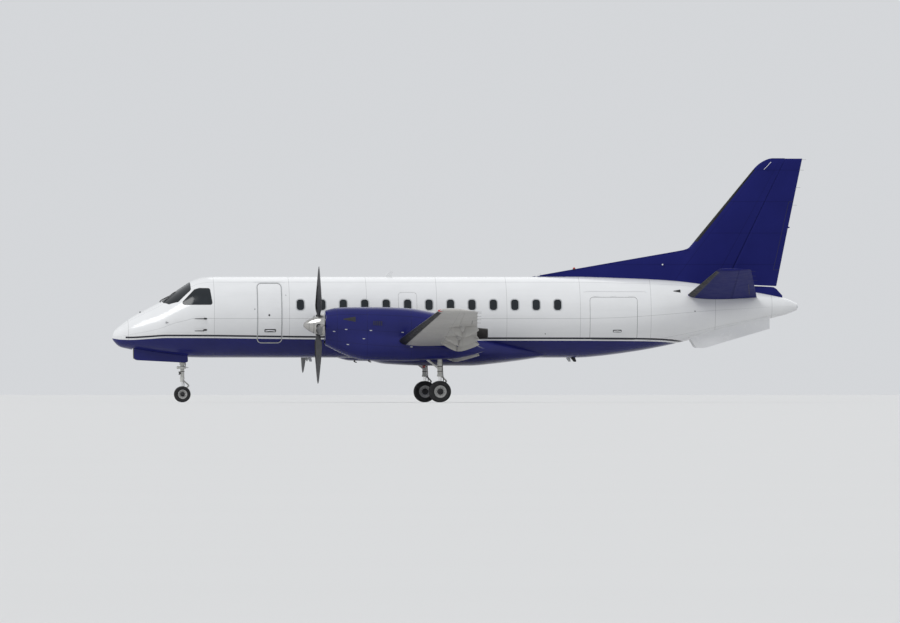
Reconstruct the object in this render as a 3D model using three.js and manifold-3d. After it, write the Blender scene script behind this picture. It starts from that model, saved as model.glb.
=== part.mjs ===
// A twin-turboprop regional airliner, parked on its wheels with its surfaces level.
// Millimetres. Stations run aft from the nose tip, y runs to the aircraft's right, and heights
// are above the fuselage centreline. The last lines move the origin to the ground under the
// middle of the aircraft.

import * as THREE from 'three';
import { mergeVertices } from 'three/addons/utils/BufferGeometryUtils.js';
import Module from 'manifold-3d';

const wasm = await Module();
wasm.setup();

// Driving dimensions
const overallLength = 19730;
const centrelineHeight = 2430; // fuselage centreline above the ground
const cabinRadius = 1155;
const tailConeEnd = 19570;
const fitGap = 0.4; // between pieces that touch
const swingGap = 10; // around a control surface's nose
const left = -1;
const right = 1;
const sides = [['left', left], ['right', right]];
const degree = Math.PI / 180;

// A lifting surface is given by its chord and thickness at the centreline and at the tip.
const wing = {
  rootLeading: 7560, rootTrailing: 10400, rootThickness: 454,
  tipLeading: 8660, tipTrailing: 9720, tipThickness: 127, tipReach: 10714,
  rootHeight: -1161, dihedral: 7 * degree, incidence: 1.5 * degree, camber: 0.02,
};
const tailplane = {
  rootLeading: 16308, rootTrailing: 18440, rootThickness: 235,
  tipLeading: 16970, tipTrailing: 17890, tipThickness: 83, tipReach: 4622,
  rootHeight: 510, dihedral: 10.2 * degree, incidence: 0, camber: 0,
};

const wingRoot = 500;
const aileron = { from: 7730, to: 10480, hinge: 0.69 };
const flap = { inner: [1300, 2790], outer: [3920, 7650], nose: 0.72 };
const flapPivot = { share: 0.755, rise: -290 }; // the flaps hang from hinges below the wing
const elevator = { from: 580, to: 4480, hinge: 0.66 };
const fin = { base: 800, shoulder: 4245, top: 4540, thickness: 0.1 };
const rudder = { bottom: 950, hingeLow: [17558, 900], hingeHigh: [19270, 4540], gap: 12, footFall: 0.045 };

const engineReach = 3355; // nacelle, propeller and main leg, out from the centreline
const propeller = { plane: 5690, height: -239, radius: 1675, blades: 4 };
const noseGear = { station: 2000, tyreRadius: 228.6, tyreWidth: 150, halfTrack: 165 };
const mainGear = { station: 9140, tyreRadius: 305, tyreWidth: 190, halfTrack: 190 };

// Finishes
const finish = (color, roughness, metalness = 0) => new THREE.MeshStandardMaterial({
  color, roughness, metalness, flatShading: true,
});
const whitePaint = finish('#eef0f2', 0.3);
const navyPaint = finish('#1c2163', 0.3);
const greyPaint = finish('#c3c4c4', 0.4);
const gearPaint = finish('#e4e4e0', 0.45);
const hubPaint = finish('#b9babc', 0.4, 0.3);
const polished = finish('#d4d6d9', 0.12, 1);
const bladeBlack = finish('#2b2d31', 0.45);
const rubber = finish('#17181a', 0.85);
const darkGlass = finish('#10161c', 0.08);
const heatedSteel = finish('#4b4640', 0.4, 0.9);
const castMetal = finish('#6b6e70', 0.6, 0.7);

// Solids

// A closed solid from points and triangles, its faces pointing outwards.
function solid(points, triangles) {
  const loose = new THREE.BufferGeometry();
  loose.setAttribute('position', new THREE.Float32BufferAttribute(points.flat(), 3));
  loose.setIndex(triangles.flat());
  return tidy(loose);
}

// Merge shared corners, drop collapsed triangles and turn the faces outwards.
function tidy(geometry) {
  const bare = geometry.clone();
  bare.deleteAttribute('normal');
  bare.deleteAttribute('uv');
  const merged = mergeVertices(bare, 1e-3);
  const place = merged.attributes.position;
  const source = merged.index.array;
  const [a, b, c] = [new THREE.Vector3(), new THREE.Vector3(), new THREE.Vector3()];
  const kept = [];
  let volume = 0;
  for (let i = 0; i < source.length; i += 3) {
    const [p, q, r] = [source[i], source[i + 1], source[i + 2]];
    if (p === q || q === r || r === p) continue;
    kept.push([p, q, r]);
    a.fromBufferAttribute(place, p);
    b.fromBufferAttribute(place, q);
    c.fromBufferAttribute(place, r);
    volume += a.dot(b.cross(c));
  }
  merged.setIndex(kept.flatMap(([p, q, r]) => (volume < 0 ? [p, r, q] : [p, q, r])));
  return merged;
}

// The triangles that fill a ring, wound the same way as the ring.
function capTriangles(ring) {
  const spread = [0, 1, 2].map((axis) => {
    const values = ring.map((point) => point[axis]);
    return Math.max(...values) - Math.min(...values);
  });
  const flat = spread.indexOf(Math.min(...spread));
  const [across, up] = [[1, 2], [2, 0], [0, 1]][flat];
  const outline = ring.map((point) => new THREE.Vector2(point[across], point[up]));
  const turn = Math.sign(THREE.ShapeUtils.area(outline));
  return THREE.ShapeUtils.triangulateShape(outline, []).map(([i, j, k]) => {
    const sameTurn = THREE.ShapeUtils.area([outline[i], outline[j], outline[k]]) * turn > 0;
    return sameTurn ? [i, j, k] : [i, k, j];
  });
}

// A solid skinned over rings that all have the same number of points.
function loft(rings) {
  const count = rings[0].length;
  const last = rings.length - 1;
  const triangles = [];
  for (let r = 0; r < last; r += 1) {
    for (let i = 0; i < count; i += 1) {
      const a = r * count + i;
      const b = r * count + ((i + 1) % count);
      triangles.push([a, b, b + count], [a, b + count, a + count]);
    }
  }
  for (const [i, j, k] of capTriangles(rings[0])) triangles.push([i, k, j]);
  for (const cap of capTriangles(rings[last])) triangles.push(cap.map((i) => i + last * count));
  return solid(rings.flat(), triangles);
}

// Side view outline of [station, height] corners, carried across from y to y.
const sidePrism = (outline, from, to) => loft([from, to].map(
  (y) => outline.map(([station, height]) => [station, y, height]),
));

// Plan view outline of [station, y] corners, carried up from height to height.
const planPrism = (outline, from, to) => loft([from, to].map(
  (height) => outline.map(([station, y]) => [station, y, height]),
));

const block = (from, to) => sidePrism(
  [[from[0], from[2]], [to[0], from[2]], [to[0], to[2]], [from[0], to[2]]], from[1], to[1],
);

// A round bar between two points.
function bar(from, to, radius, faces = 10) {
  const [start, end] = [new THREE.Vector3(...from), new THREE.Vector3(...to)];
  const along = end.clone().sub(start);
  const rod = new THREE.CylinderGeometry(radius, radius, along.length(), faces);
  rod.applyQuaternion(new THREE.Quaternion().setFromUnitVectors(
    new THREE.Vector3(0, 1, 0), along.clone().normalize(),
  ));
  rod.translate(...start.add(end).multiplyScalar(0.5).toArray());
  return tidy(rod);
}

// A turned piece about y. A flat side faces down, so a wheel stands on a facet.
function turned(profile, faces) {
  const outline = profile.map(([radius, y]) => new THREE.Vector2(radius, y));
  return tidy(new THREE.LatheGeometry(outline, faces, Math.PI / faces));
}
const turnedAlongX = (profile, faces) => turned(profile, faces).rotateZ(-Math.PI / 2);

const toManifold = (geometry) => new wasm.Manifold(new wasm.Mesh({
  numProp: 3,
  vertProperties: new Float32Array(geometry.attributes.position.array),
  triVerts: new Uint32Array(geometry.index.array),
}));

function fromManifold(manifold) {
  const mesh = manifold.getMesh();
  const geometry = new THREE.BufferGeometry();
  geometry.setAttribute('position', new THREE.Float32BufferAttribute(mesh.vertProperties, 3));
  geometry.setIndex([...mesh.triVerts]);
  return tidy(geometry);
}

const combine = (action) => (first, ...others) => fromManifold(
  others.map(toManifold).reduce((whole, next) => whole[action](next), toManifold(first)),
);
const join = combine('add');
const cut = combine('subtract');
const overlap = combine('intersect');

// Bodies of oval sections

const namedRows = (rows) => rows.map(([station, halfWidth, middle, top, bottom]) => (
  { station, halfWidth, middle, top, bottom }
));

function rowAt(rows, station) {
  const next = rows.findIndex((row) => row.station >= station);
  if (next <= 0) return { ...rows[0], station };
  const [a, b] = [rows[next - 1], rows[next]];
  const share = (station - a.station) / (b.station - a.station);
  const mixed = Object.keys(a).map((key) => [key, a[key] + share * (b[key] - a[key])]);
  return Object.fromEntries(mixed);
}

function ovalRing(row, { count = 32, grow = 0, power = 2, centre = 0 }) {
  return Array.from({ length: count }, (_, i) => {
    const turn = (2 * Math.PI * (i + 0.5)) / count;
    const bulge = (value) => Math.sign(value) * Math.abs(value) ** (2 / power);
    const [across, up] = [bulge(Math.cos(turn)), bulge(Math.sin(turn))];
    const rise = up > 0 ? row.top - row.middle : row.middle - row.bottom;
    const y = centre + across * (row.halfWidth + grow);
    return [row.station, y, row.middle + up * (rise + grow)];
  });
}

function ovalBody(rows, from, to, options = {}) {
  const between = rows.filter((row) => row.station > from + 1 && row.station < to - 1);
  const all = [rowAt(rows, from), ...between, rowAt(rows, to)];
  return loft(all.map((row) => ovalRing(row, options)));
}

// Fuselage: station, half width, height of the widest point, top, bottom
const fuselageRows = namedRows([
  [0, 28, -590, -562, -618],
  [50, 170, -556, -415, -700],
  [240, 360, -545, -240, -857],
  [440, 490, -495, -85, -905],
  [820, 670, -420, 140, -980],
  [1110, 775, -355, 290, -1022],
  [1375, 868, -280, 435, -1060],
  [1700, 952, -150, 660, -1100],
  [2080, 1038, -50, 913, -1137],
  [2280, 1075, 0, 1033, -1148],
  [2570, 1120, 0, 1128, -1154],
  [2860, cabinRadius - 5, 0, cabinRadius, -cabinRadius],
  [3200, cabinRadius, 0, cabinRadius, -cabinRadius],
  [13300, cabinRadius, 0, cabinRadius, -cabinRadius],
  [13900, 1132, 12, 1142, -1110],
  [14550, 1090, 30, 1120, -1030],
  [15330, 1000, 80, 1090, -907],
  [16250, 840, 150, 1030, -713],
  [17200, 640, 220, 910, -460],
  [18000, 480, 260, 780, -250],
  [18840, 320, 300, 630, -30],
  [19300, 205, 305, 520, 90],
  [tailConeEnd, 100, 300, 400, 200],
]);

// Wing to body fairing under the fuselage, same columns
const bellyRows = namedRows([
  [6950, 560, -1000, -880, -1128],
  [7300, 850, -960, -640, -1220],
  [7800, 1060, -930, -440, -1335],
  [9000, 1130, -930, -380, -1385],
  [10200, 1110, -930, -400, -1385],
  [10850, 1000, -960, -520, -1330],
  [11600, 770, -1000, -720, -1240],
  [12300, 450, -1040, -940, -1135],
]);

// Nacelle, upper body around the engine and exhaust, same columns
const nacelleRows = namedRows([
  [5875, 410, -235, 180, -640],
  [6200, 450, -250, 250, -800],
  [6600, 480, -270, 270, -900],
  [7400, 500, -290, 272, -950],
  [8200, 500, -300, 240, -950],
  [8900, 450, -340, 130, -900],
  [9600, 345, -420, -70, -850],
  [10150, 225, -480, -285, -690],
]);

// Nacelle, lower body around the air intake and the main gear bay, same columns
const gearPodRows = namedRows([
  [5900, 300, -650, -500, -815],
  [6350, 400, -700, -400, -1040],
  [6600, 450, -740, -400, -1140],
  [7000, 500, -780, -400, -1235],
  [8000, 530, -820, -500, -1255],
  [9000, 510, -860, -600, -1228],
  [9500, 440, -890, -650, -1200],
  [10000, 270, -900, -740, -1110],
  [10400, 40, -950, -900, -985],
]);

const fuselage = (from, to, grow = 0) => ovalBody(fuselageRows, from, to, { grow });
const wholeFuselage = fuselage(0, tailConeEnd, fitGap);
const belly = ovalBody(bellyRows, 6950, 12300, { count: 24, power: 2.3 });
const bellyRoom = ovalBody(bellyRows, 6950, 12300, { count: 24, power: 2.3, grow: fitGap });

// Lifting surfaces

// Half thickness of a section as a share of its chord, from a classic four-digit formula.
const halfThickness = (share, thickness) => 5 * thickness * (
  0.2969 * Math.sqrt(share) - 0.126 * share - 0.3516 * share ** 2
  + 0.2843 * share ** 3 - 0.1036 * share ** 4
) + 0.002 * share;

// Mean line height as a share of the chord, highest at two fifths of it.
const meanLine = (share, camber) => (share < 0.4
  ? camber * (0.8 * share - share ** 2) / 0.16
  : camber * (0.2 + 0.8 * share - share ** 2) / 0.36);

function chordAt(surface, reach) {
  const share = reach / surface.tipReach;
  const mix = (root, tip) => root + share * (tip - root);
  const leading = mix(surface.rootLeading, surface.tipLeading);
  const trailing = mix(surface.rootTrailing, surface.tipTrailing);
  const length = trailing - leading;
  return { leading, length, thickness: mix(surface.rootThickness, surface.tipThickness) / length };
}

// A point of a surface: reach out along the span, share of the chord, height off the chord.
function surfacePoint(surface, side, reach, share, rise) {
  const { leading, length } = chordAt(surface, reach);
  const height = rise - share * length * Math.tan(surface.incidence);
  const y = side * (reach - height * Math.sin(surface.dihedral));
  const lift = reach * Math.tan(surface.dihedral) + height * Math.cos(surface.dihedral);
  return [leading + share * length, y, surface.rootHeight + lift];
}

// Height of the skin over the chord at a share of it; face is 1 on top and -1 below.
function skinRise(surface, reach, share, face) {
  const { length, thickness } = chordAt(surface, reach);
  const mean = meanLine(share, surface.camber);
  return length * (mean + face * halfThickness(share, thickness));
}

const chordShares = [1, 0.86, 0.7, 0.52, 0.36, 0.22, 0.12, 0.05, 0.012];

function sectionRing(surface, side, reach, { grow = 0, squeeze = 1, inset = 0 } = {}) {
  const corner = (share, face) => {
    const eased = inset + share * (1 - 2 * inset);
    const rise = skinRise(surface, reach, share, face) * squeeze + face * grow;
    return surfacePoint(surface, side, reach, eased, rise);
  };
  const nose = surfacePoint(surface, side, reach, inset, 0);
  nose[0] -= grow;
  const upper = chordShares.map((share) => corner(share, 1));
  const lower = chordShares.toReversed().map((share) => corner(share, -1));
  for (const edge of [upper[0], lower.at(-1)]) edge[0] += grow;
  return [...upper, nose, ...lower];
}

// Reach, share of full thickness and share of the chord lost at each end of it
const tipRounding = [[-160, 1, 0], [-60, 0.8, 0.015], [0, 0.3, 0.06]];

function surfaceBody(surface, side, from, grow = 0) {
  const rings = [sectionRing(surface, side, from, { grow })];
  for (const [offset, squeeze, inset] of tipRounding) {
    rings.push(sectionRing(surface, side, surface.tipReach + offset, { grow, squeeze, inset }));
  }
  return loft(rings);
}

// The nose circle of a hinged surface at one reach.
function noseCircle(surface, reach, share) {
  const [top, bottom] = [1, -1].map((face) => skinRise(surface, reach, share, face));
  return { rise: (top + bottom) / 2, radius: (top - bottom) / 2 - 1 };
}

// A hinged surface: round nose about its share of the chord, then the section's own skin.
function movable(surface, side, from, to, share) {
  const ring = (reach) => {
    const { length } = chordAt(surface, reach);
    const { rise, radius } = noseCircle(surface, reach, share);
    const aft = [share + 0.02, share + 0.4 * (1 - share), 1];
    const skin = (face) => aft.map((part) => (
      surfacePoint(surface, side, reach, part, skinRise(surface, reach, part, face) - face)
    ));
    const nose = [90, 120, 150, 180, 210, 240, 270].map((angle) => surfacePoint(
      surface, side, reach, share + (radius * Math.cos(angle * degree)) / length,
      rise + radius * Math.sin(angle * degree),
    ));
    return [...skin(1).toReversed(), ...nose, ...skin(-1)];
  };
  return loft([ring(from), ring(to)]);
}

// The space cut out of a fixed surface behind its rear spar for a hinged one.
function movableRoom(surface, side, from, to, share, endGap) {
  const ring = (reach) => {
    const { length } = chordAt(surface, reach);
    const { radius } = noseCircle(surface, reach, share);
    const front = share - (radius + swingGap) / length;
    return [[front, -400], [1.4, -400], [1.4, 400], [front, 400]].map(
      ([part, rise]) => surfacePoint(surface, side, reach, part, rise),
    );
  };
  return loft([ring(from - endGap), ring(to + endGap)]);
}

// A thin upright fore-and-aft plate on a surface: [share of chord, height] corners.
function surfacePlate(surface, side, reach, width, outline) {
  return loft([reach - width / 2, reach + width / 2].map((at) => outline.map(
    ([share, rise]) => surfacePoint(surface, side, at, share, rise),
  )));
}

// The aircraft

const aircraft = new THREE.Group();
function add(name, geometry, material, position = [0, 0, 0]) {
  const mesh = new THREE.Mesh(geometry, material);
  mesh.name = name;
  mesh.position.set(...position);
  aircraft.add(mesh);
}

// Panels let into the fuselage: glass and doors, each as deep as its whole thickness

const panelDepth = 45;
const panelGap = 2;

function insetPanel(bodyRange, outlineBody, clearanceBody) {
  const [from, to] = bodyRange;
  const core = fuselage(from - 50, to + 50, -panelDepth);
  const pocketCore = fuselage(from - 50, to + 50, -panelDepth - panelGap);
  return {
    panel: cut(overlap(fuselage(from, to), outlineBody), core),
    pocket: cut(clearanceBody, pocketCore),
  };
}

// An outline grown outwards by a distance, for corners listed either way round.
function grownOutline(outline, distance) {
  const turn = Math.sign(THREE.ShapeUtils.area(outline.map((p) => new THREE.Vector2(...p))));
  return outline.map((point, i) => {
    const before = new THREE.Vector2(...outline.at(i - 1));
    const here = new THREE.Vector2(...point);
    const after = new THREE.Vector2(...outline[(i + 1) % outline.length]);
    const [into, out] = [here.clone().sub(before).normalize(), after.sub(here).normalize()];
    const normal = new THREE.Vector2(into.y + out.y, -into.x - out.x);
    const scale = distance / (1 + into.dot(out));
    return [here.x + turn * normal.x * scale, here.y + turn * normal.y * scale];
  });
}

// Windscreen in plan view and side window in side view
const windscreen = [[1400, 45], [1450, 400], [1590, 640], [1850, 770], [2200, 670], [2190, 45]];
const sideWindow = [[1905, 355], [2800, 355], [2735, 810], [2440, 815], [2310, 775]];

const cockpitRange = [440, 2860];
let cockpit = fuselage(cockpitRange[0] + fitGap, cockpitRange[1] - fitGap);
for (const [name, side] of sides) {
  const mirrored = windscreen.map(([station, y]) => [station, side * y]);
  const front = insetPanel(
    cockpitRange, planPrism(mirrored, 0, 1400),
    planPrism(grownOutline(mirrored, panelGap), 0, 1400),
  );
  const flank = insetPanel(
    cockpitRange, sidePrism(sideWindow, side * 300, side * 1400),
    sidePrism(grownOutline(sideWindow, panelGap), side * 300, side * 1400),
  );
  add(`windscreen_${name}`, front.panel, darkGlass);
  add(`side_window_${name}`, flank.panel, darkGlass);
  cockpit = cut(cockpit, front.pocket, flank.pocket);
}

// Nose gear bay between its two hanging doors
const noseBay = { from: 560, to: 2180, halfWidth: 225, roof: -760 };
cockpit = cut(cockpit, block(
  [noseBay.from, -noseBay.halfWidth, -1400], [noseBay.to, noseBay.halfWidth, noseBay.roof],
));
add('cockpit_section', cockpit, whitePaint);

const noseDoor = [[600, -700], [2140, -900], [2150, -1275], [2080, -1300], [700, -1230], [610, -1180]];
for (const [name, side] of sides) {
  const plate = sidePrism(noseDoor, side * 236, side * 258);
  add(`nose_gear_door_${name}`, cut(plate, wholeFuselage), navyPaint);
}

// Fuselage barrels, each ending where the next is joined on

add('radome', fuselage(0, 440 - fitGap), whitePaint);

const roundedDoor = (from, to, bottom, top, corner) => [
  [from + corner, bottom], [to - corner, bottom], [to, bottom + corner], [to, top - corner],
  [to - corner, top], [from + corner, top], [from, top - corner], [from, bottom + corner],
];

function barrelWithDoor(range, outline) {
  const panel = insetPanel(
    range, sidePrism(outline, -200, -1400),
    sidePrism(grownOutline(outline, panelGap), -200, -1400),
  );
  return { door: panel.panel, barrel: cut(fuselage(range[0], range[1] - fitGap), panel.pocket) };
}

const jackPad = (station, y, from, to) => bar([station, y, from], [station, y, to], 60, 16);

const front = barrelWithDoor([2860, 7200], roundedDoor(4100, 4770, -720, 950, 110));
add('cabin_front', join(front.barrel, jackPad(3300, 0, -1100, -1172)), whitePaint);
add('passenger_door', front.door, whitePaint);

add('cabin_centre', fuselage(7200, 11200 - fitGap), whitePaint);
add('cabin_rear', fuselage(11200, 13300 - fitGap), whitePaint);

const rear = barrelWithDoor([13300, 18840], roundedDoor(13580, 14930, -640, 560, 90));
add('rear_fuselage', rear.barrel, whitePaint);
add('cargo_door', rear.door, whitePaint);
add('tail_cone', fuselage(18840, tailConeEnd), whitePaint);
add('belly_fairing', cut(belly, wholeFuselage), navyPaint);

// Wings, ailerons and flaps

// Each flap arm has a fixed bracket beside it, and both reach down to the pivot. Their corners
// are shares of the chord aft of the pivot and heights above it.
const flapArms = [2050, 4450, 5600, 7560];
const bracketStep = 30;
const bracketCorners = [[-0.255, 225], [-0.17, 90], [-0.02, -40], [0.015, -40], [0.015, 40],
  [-0.1, 225]];
const armCorners = [[-0.02, -40], [0.03, -40], [0.265, 140], [0.265, 195], [0.2, 285],
  [0.03, 285], [-0.02, 40]];
const aboutPivot = (corners) => corners.map(
  ([share, rise]) => [flapPivot.share + share, flapPivot.rise + rise],
);

for (const [name, side] of sides) {
  const rooms = [
    movableRoom(wing, side, aileron.from, aileron.to, aileron.hinge, 18),
    movableRoom(wing, side, flap.inner[0], flap.inner[1], flap.nose, 18),
    movableRoom(wing, side, flap.outer[0], flap.outer[1], flap.nose, 18),
  ];
  const brackets = flapArms.map(
    (reach) => surfacePlate(wing, side, reach - bracketStep, 22, aboutPivot(bracketCorners)),
  );
  const shell = cut(surfaceBody(wing, side, wingRoot), ...rooms);
  const whole = join(shell, ...brackets, jackPadUnderWing(side));
  add(`wing_${name}`, cut(whole, wholeFuselage, bellyRoom), greyPaint);

  const panels = [flap.inner, flap.outer].map(([from, to]) => {
    const arms = flapArms.filter((reach) => reach > from && reach < to);
    return join(
      movable(wing, side, from, to, flap.nose),
      ...arms.map((reach) => surfacePlate(wing, side, reach, 22, aboutPivot(armCorners))),
    );
  });
  add(`flap_inner_${name}`, panels[0], greyPaint);
  add(`flap_outer_${name}`, panels[1], greyPaint);
  add(`aileron_${name}`, movable(wing, side, aileron.from, aileron.to, aileron.hinge), greyPaint);
}

// A jacking point under the rear spar, just inboard of the nacelle.
function jackPadUnderWing(side) {
  const [station, y, height] = surfacePoint(wing, side, 2500, 0.5, 0);
  return jackPad(station, y, height, height - 215);
}

// Tailplane and elevators

for (const [name, side] of sides) {
  const room = movableRoom(tailplane, side, elevator.from, elevator.to, elevator.hinge, 20);
  const shell = cut(surfaceBody(tailplane, side, 180), room, wholeFuselage);
  add(`tailplane_${name}`, shell, navyPaint);
  const surface = movable(tailplane, side, elevator.from, elevator.to, elevator.hinge);
  add(`elevator_${name}`, surface, navyPaint);
}

// Fin with its long dorsal fillet, and rudder

const between = ([x0, z0], [x1, z1], height) => x0 + ((height - z0) / (z1 - z0)) * (x1 - x0);
const finLeading = (height) => between([16510, 2010], [18350, fin.shoulder], height);
const rudderTrailing = (height) => between([18970, 870], [overallLength, 4530], height);
const hingeStation = (height) => between(rudder.hingeLow, rudder.hingeHigh, height);
const hingeRake = Math.atan2(
  rudder.hingeHigh[0] - rudder.hingeLow[0], rudder.hingeHigh[1] - rudder.hingeLow[1],
);

function finSection(height) {
  const leading = finLeading(height);
  const length = rudderTrailing(height) - leading;
  const share = (hingeStation(height) - leading) / length;
  const radius = length * halfThickness(share, fin.thickness) - 1;
  return { leading, length, share, radius, noseReach: radius / Math.cos(hingeRake) };
}

function finRing(height, start, squeeze = 1) {
  const { leading, length, noseReach } = finSection(height);
  const rearShare = (hingeStation(height) - noseReach - rudder.gap - leading) / length;
  const startShare = (start - leading) / length;
  const steps = [1, 0.72, 0.48, 0.28, 0.13, 0.04].map((part) => part * (rearShare - startShare));
  const corner = (step, face) => {
    const share = Math.min(startShare + step, rearShare);
    const ease = Math.min(1, Math.sqrt(step / Math.max(0.001, startShare + 0.02)));
    const half = length * halfThickness(share, fin.thickness) * ease * squeeze;
    return [leading + share * length, face * half, height];
  };
  return [
    ...steps.map((step) => corner(step, 1)), [start, 0, height],
    ...steps.toReversed().map((step) => corner(step, -1)),
  ];
}

const finBody = loft([
  finRing(fin.base, finLeading(fin.base)), finRing(2010, finLeading(2010)),
  finRing(fin.shoulder, finLeading(fin.shoulder)),
  finRing(4440, finLeading(4440) + 20, 0.9), finRing(4515, finLeading(4515) + 70, 0.7),
  finRing(fin.top, 18700, 0.35),
]);

// Dorsal fillet: station, ridge height, half width at the foot
const dorsalRows = [
  [11900, 1140, 6], [12900, 1318, 50], [14600, 1616, 100], [16100, 1876, 125], [16700, 1980, 135],
];
const dorsal = loft(dorsalRows.map(([station, ridge, foot]) => [
  [station, -foot, 900], [station, -foot, 1080], [station, -foot * 0.35, ridge - 60],
  [station, -5, ridge], [station, 5, ridge], [station, foot * 0.35, ridge - 60],
  [station, foot, 1080], [station, foot, 900],
]));
// Fairing on the tail under the rudder: station, top height, half width
const finFootRows = [[17300, 922, 95], [17560, 910, 95], [18900, 844, 50], [19160, 600, 20]];
const finFoot = loft(finFootRows.map(([station, top, half]) => [
  [station, -half, 450], [station, -half, top], [station, half, top], [station, half, 450],
]));
add('fin', cut(join(finBody, dorsal, finFoot), wholeFuselage), navyPaint);

function rudderRing(height, squeeze = 1, fall = 0) {
  const { leading, length, share, radius, noseReach } = finSection(height);
  const hinge = hingeStation(height);
  const nose = [90, 120, 150, 180, 210, 240, 270].map((angle) => [
    hinge + noseReach * Math.cos(angle * degree), radius * squeeze * Math.sin(angle * degree), height,
  ]);
  const skin = (face) => [share + 0.02, share + 0.45 * (1 - share), 1].map((part) => {
    const half = length * halfThickness(part, fin.thickness) - 1;
    return [leading + part * length, face * Math.max(half, 3) * squeeze, height];
  });
  return [...skin(1).toReversed(), ...nose, ...skin(-1)].map(
    ([station, y, up]) => [station, y, up - fall * (station - hinge)],
  );
}
add('rudder', loft([
  rudderRing(rudder.bottom, 1, rudder.footFall), rudderRing(2700), rudderRing(4420), rudderRing(4530, 0.5),
]), navyPaint);

// Strakes under the tail: lower edge falls away from the skin, cut off square behind
const strakeRoot = [[16350, -400], [18780, 200]];
for (const [name, side] of sides) {
  const outline = [...strakeRoot, [18780, -330], [16900, -880], [16650, -870]];
  const lean = (station, height) => side * (330 - 0.05 * (station - 16350) + 0.12 * (-200 - height));
  const face = (offset) => outline.map(([station, height]) => (
    [station, lean(station, height) + offset, height]
  ));
  add(`ventral_strake_${name}`, cut(loft([face(-12), face(12)]), wholeFuselage), whitePaint);
}

// Nacelles with engines, intakes, main gear bays and exhausts

const engine = { from: 6050, to: 8150, radius: 285, shaftRadius: 110, shaftFrom: 5858 };
const exhaust = { from: 10150.4, to: 10500, height: -480, rearRadius: 140, bore: 112 };
const mainBay = { from: 8560, to: 9360, halfWidth: 170, roof: -1030 };

for (const [name, side] of sides) {
  const centre = side * engineReach;
  const upper = ovalBody(nacelleRows, 5875, 10150, { count: 24, power: 2.2, centre });
  const lower = ovalBody(gearPodRows, 5900, 10400, { count: 24, power: 2.5, centre });
  const engineRoom = turnedAlongX([
    [0, 5700], [160, 5700], [160, 5990], [engine.radius + 25, 5990],
    [engine.radius + 25, engine.to + 30], [0, engine.to + 30],
  ], 20);
  engineRoom.translate(0, centre, propeller.height);
  const intake = block([5800, centre - 200, -770], [6260, centre + 200, -670]);
  const bay = block(
    [mainBay.from, centre - mainBay.halfWidth, -1400],
    [mainBay.to, centre + mainBay.halfWidth, mainBay.roof],
  );
  const wingRoom = surfaceBody(wing, side, wingRoot, 1.5);
  const flapRooms = [
    movableRoom(wing, side, flap.inner[0], flap.inner[1], flap.nose, 18),
    movableRoom(wing, side, flap.outer[0], flap.outer[1], flap.nose, 18),
  ];
  const shell = cut(join(upper, lower), engineRoom, intake, bay, wingRoom, ...flapRooms);
  add(`nacelle_${name}`, shell, navyPaint);

  add(`engine_${name}`, turnedAlongX([
    [0, engine.shaftFrom], [engine.shaftRadius, engine.shaftFrom],
    [engine.shaftRadius, engine.from], [engine.radius, engine.from],
    [engine.radius, engine.to], [0, engine.to],
  ], 20), castMetal, [0, centre, propeller.height]);

  add(`exhaust_${name}`, turnedAlongX([
    [0, exhaust.from], [170, exhaust.from], [160, exhaust.from + 150],
    [exhaust.rearRadius, exhaust.to], [exhaust.bore, exhaust.to],
    [exhaust.bore + 12, exhaust.from + 60], [0, exhaust.from + 60],
  ], 20), heatedSteel, [0, centre, exhaust.height]);
}

// Propellers

// Blade sections: radius, chord, thickness, pitch from the disc in degrees
const bladeRows = [
  [150, 100, 100, 55], [330, 120, 100, 55], [430, 210, 70, 52], [620, 285, 42, 45],
  [900, 290, 27, 35], [1200, 245, 18, 29], [1450, 180, 13, 25], [1600, 115, 9, 23],
  [propeller.radius, 45, 5, 22],
];
// Around a blade section: share along the chord, share of the half thickness
const bladeSteps = [[-0.5, 0], [-0.38, 0.75], [-0.1, 1], [0.25, 0.62], [0.5, 0],
  [0.25, -0.62], [-0.1, -1], [-0.38, -0.75]];

function blade() {
  return loft(bladeRows.map(([radius, chord, thickness, pitch]) => {
    const [sine, cosine] = [Math.sin(pitch * degree), Math.cos(pitch * degree)];
    return bladeSteps.map(([along, depth]) => {
      const [run, bulge] = [along * chord, (depth * thickness) / 2];
      return [propeller.plane + run * sine + bulge * cosine, run * cosine - bulge * sine, radius];
    });
  }));
}

const spinnerProfile = [
  [0, 5260], [52, 5275], [100, 5325], [164, 5420], [205, 5495], [234, 5559.6], [0, 5559.6],
];
const hubProfile = [[0, 5560], [234, 5560], [272, 5660], [298, 5760], [308, 5850], [0, 5850]];
const restTurn = { left: 8, right: 37 }; // degrees, where each propeller stopped

for (const [name, side] of sides) {
  const blades = Array.from({ length: propeller.blades }, (_, i) => (
    blade().rotateX((restTurn[name] + (360 * i) / propeller.blades) * degree)
  ));
  const place = [0, side * engineReach, propeller.height];
  add(`spinner_${name}`, turnedAlongX(spinnerProfile, 20), polished, place);
  add(`propeller_${name}`, join(turnedAlongX(hubProfile, 20), ...blades), bladeBlack, place);
}

// Landing gear

// Outer half of a tyre section: share of the radius, share of the width
const tyreSteps = [[1, 0.28], [0.965, 0.42], [0.84, 0.5], [0.66, 0.47], [0.54, 0.37]];
const wheelFaces = 24;

function tyre({ tyreRadius, tyreWidth }) {
  const radius = tyreRadius / Math.cos(Math.PI / wheelFaces);
  const half = tyreSteps.map(([high, wide]) => [high * radius, wide * tyreWidth]);
  const other = half.toReversed().map(([high, wide]) => [high, -wide]);
  return turned([...half, ...other, half[0]], wheelFaces);
}

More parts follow.
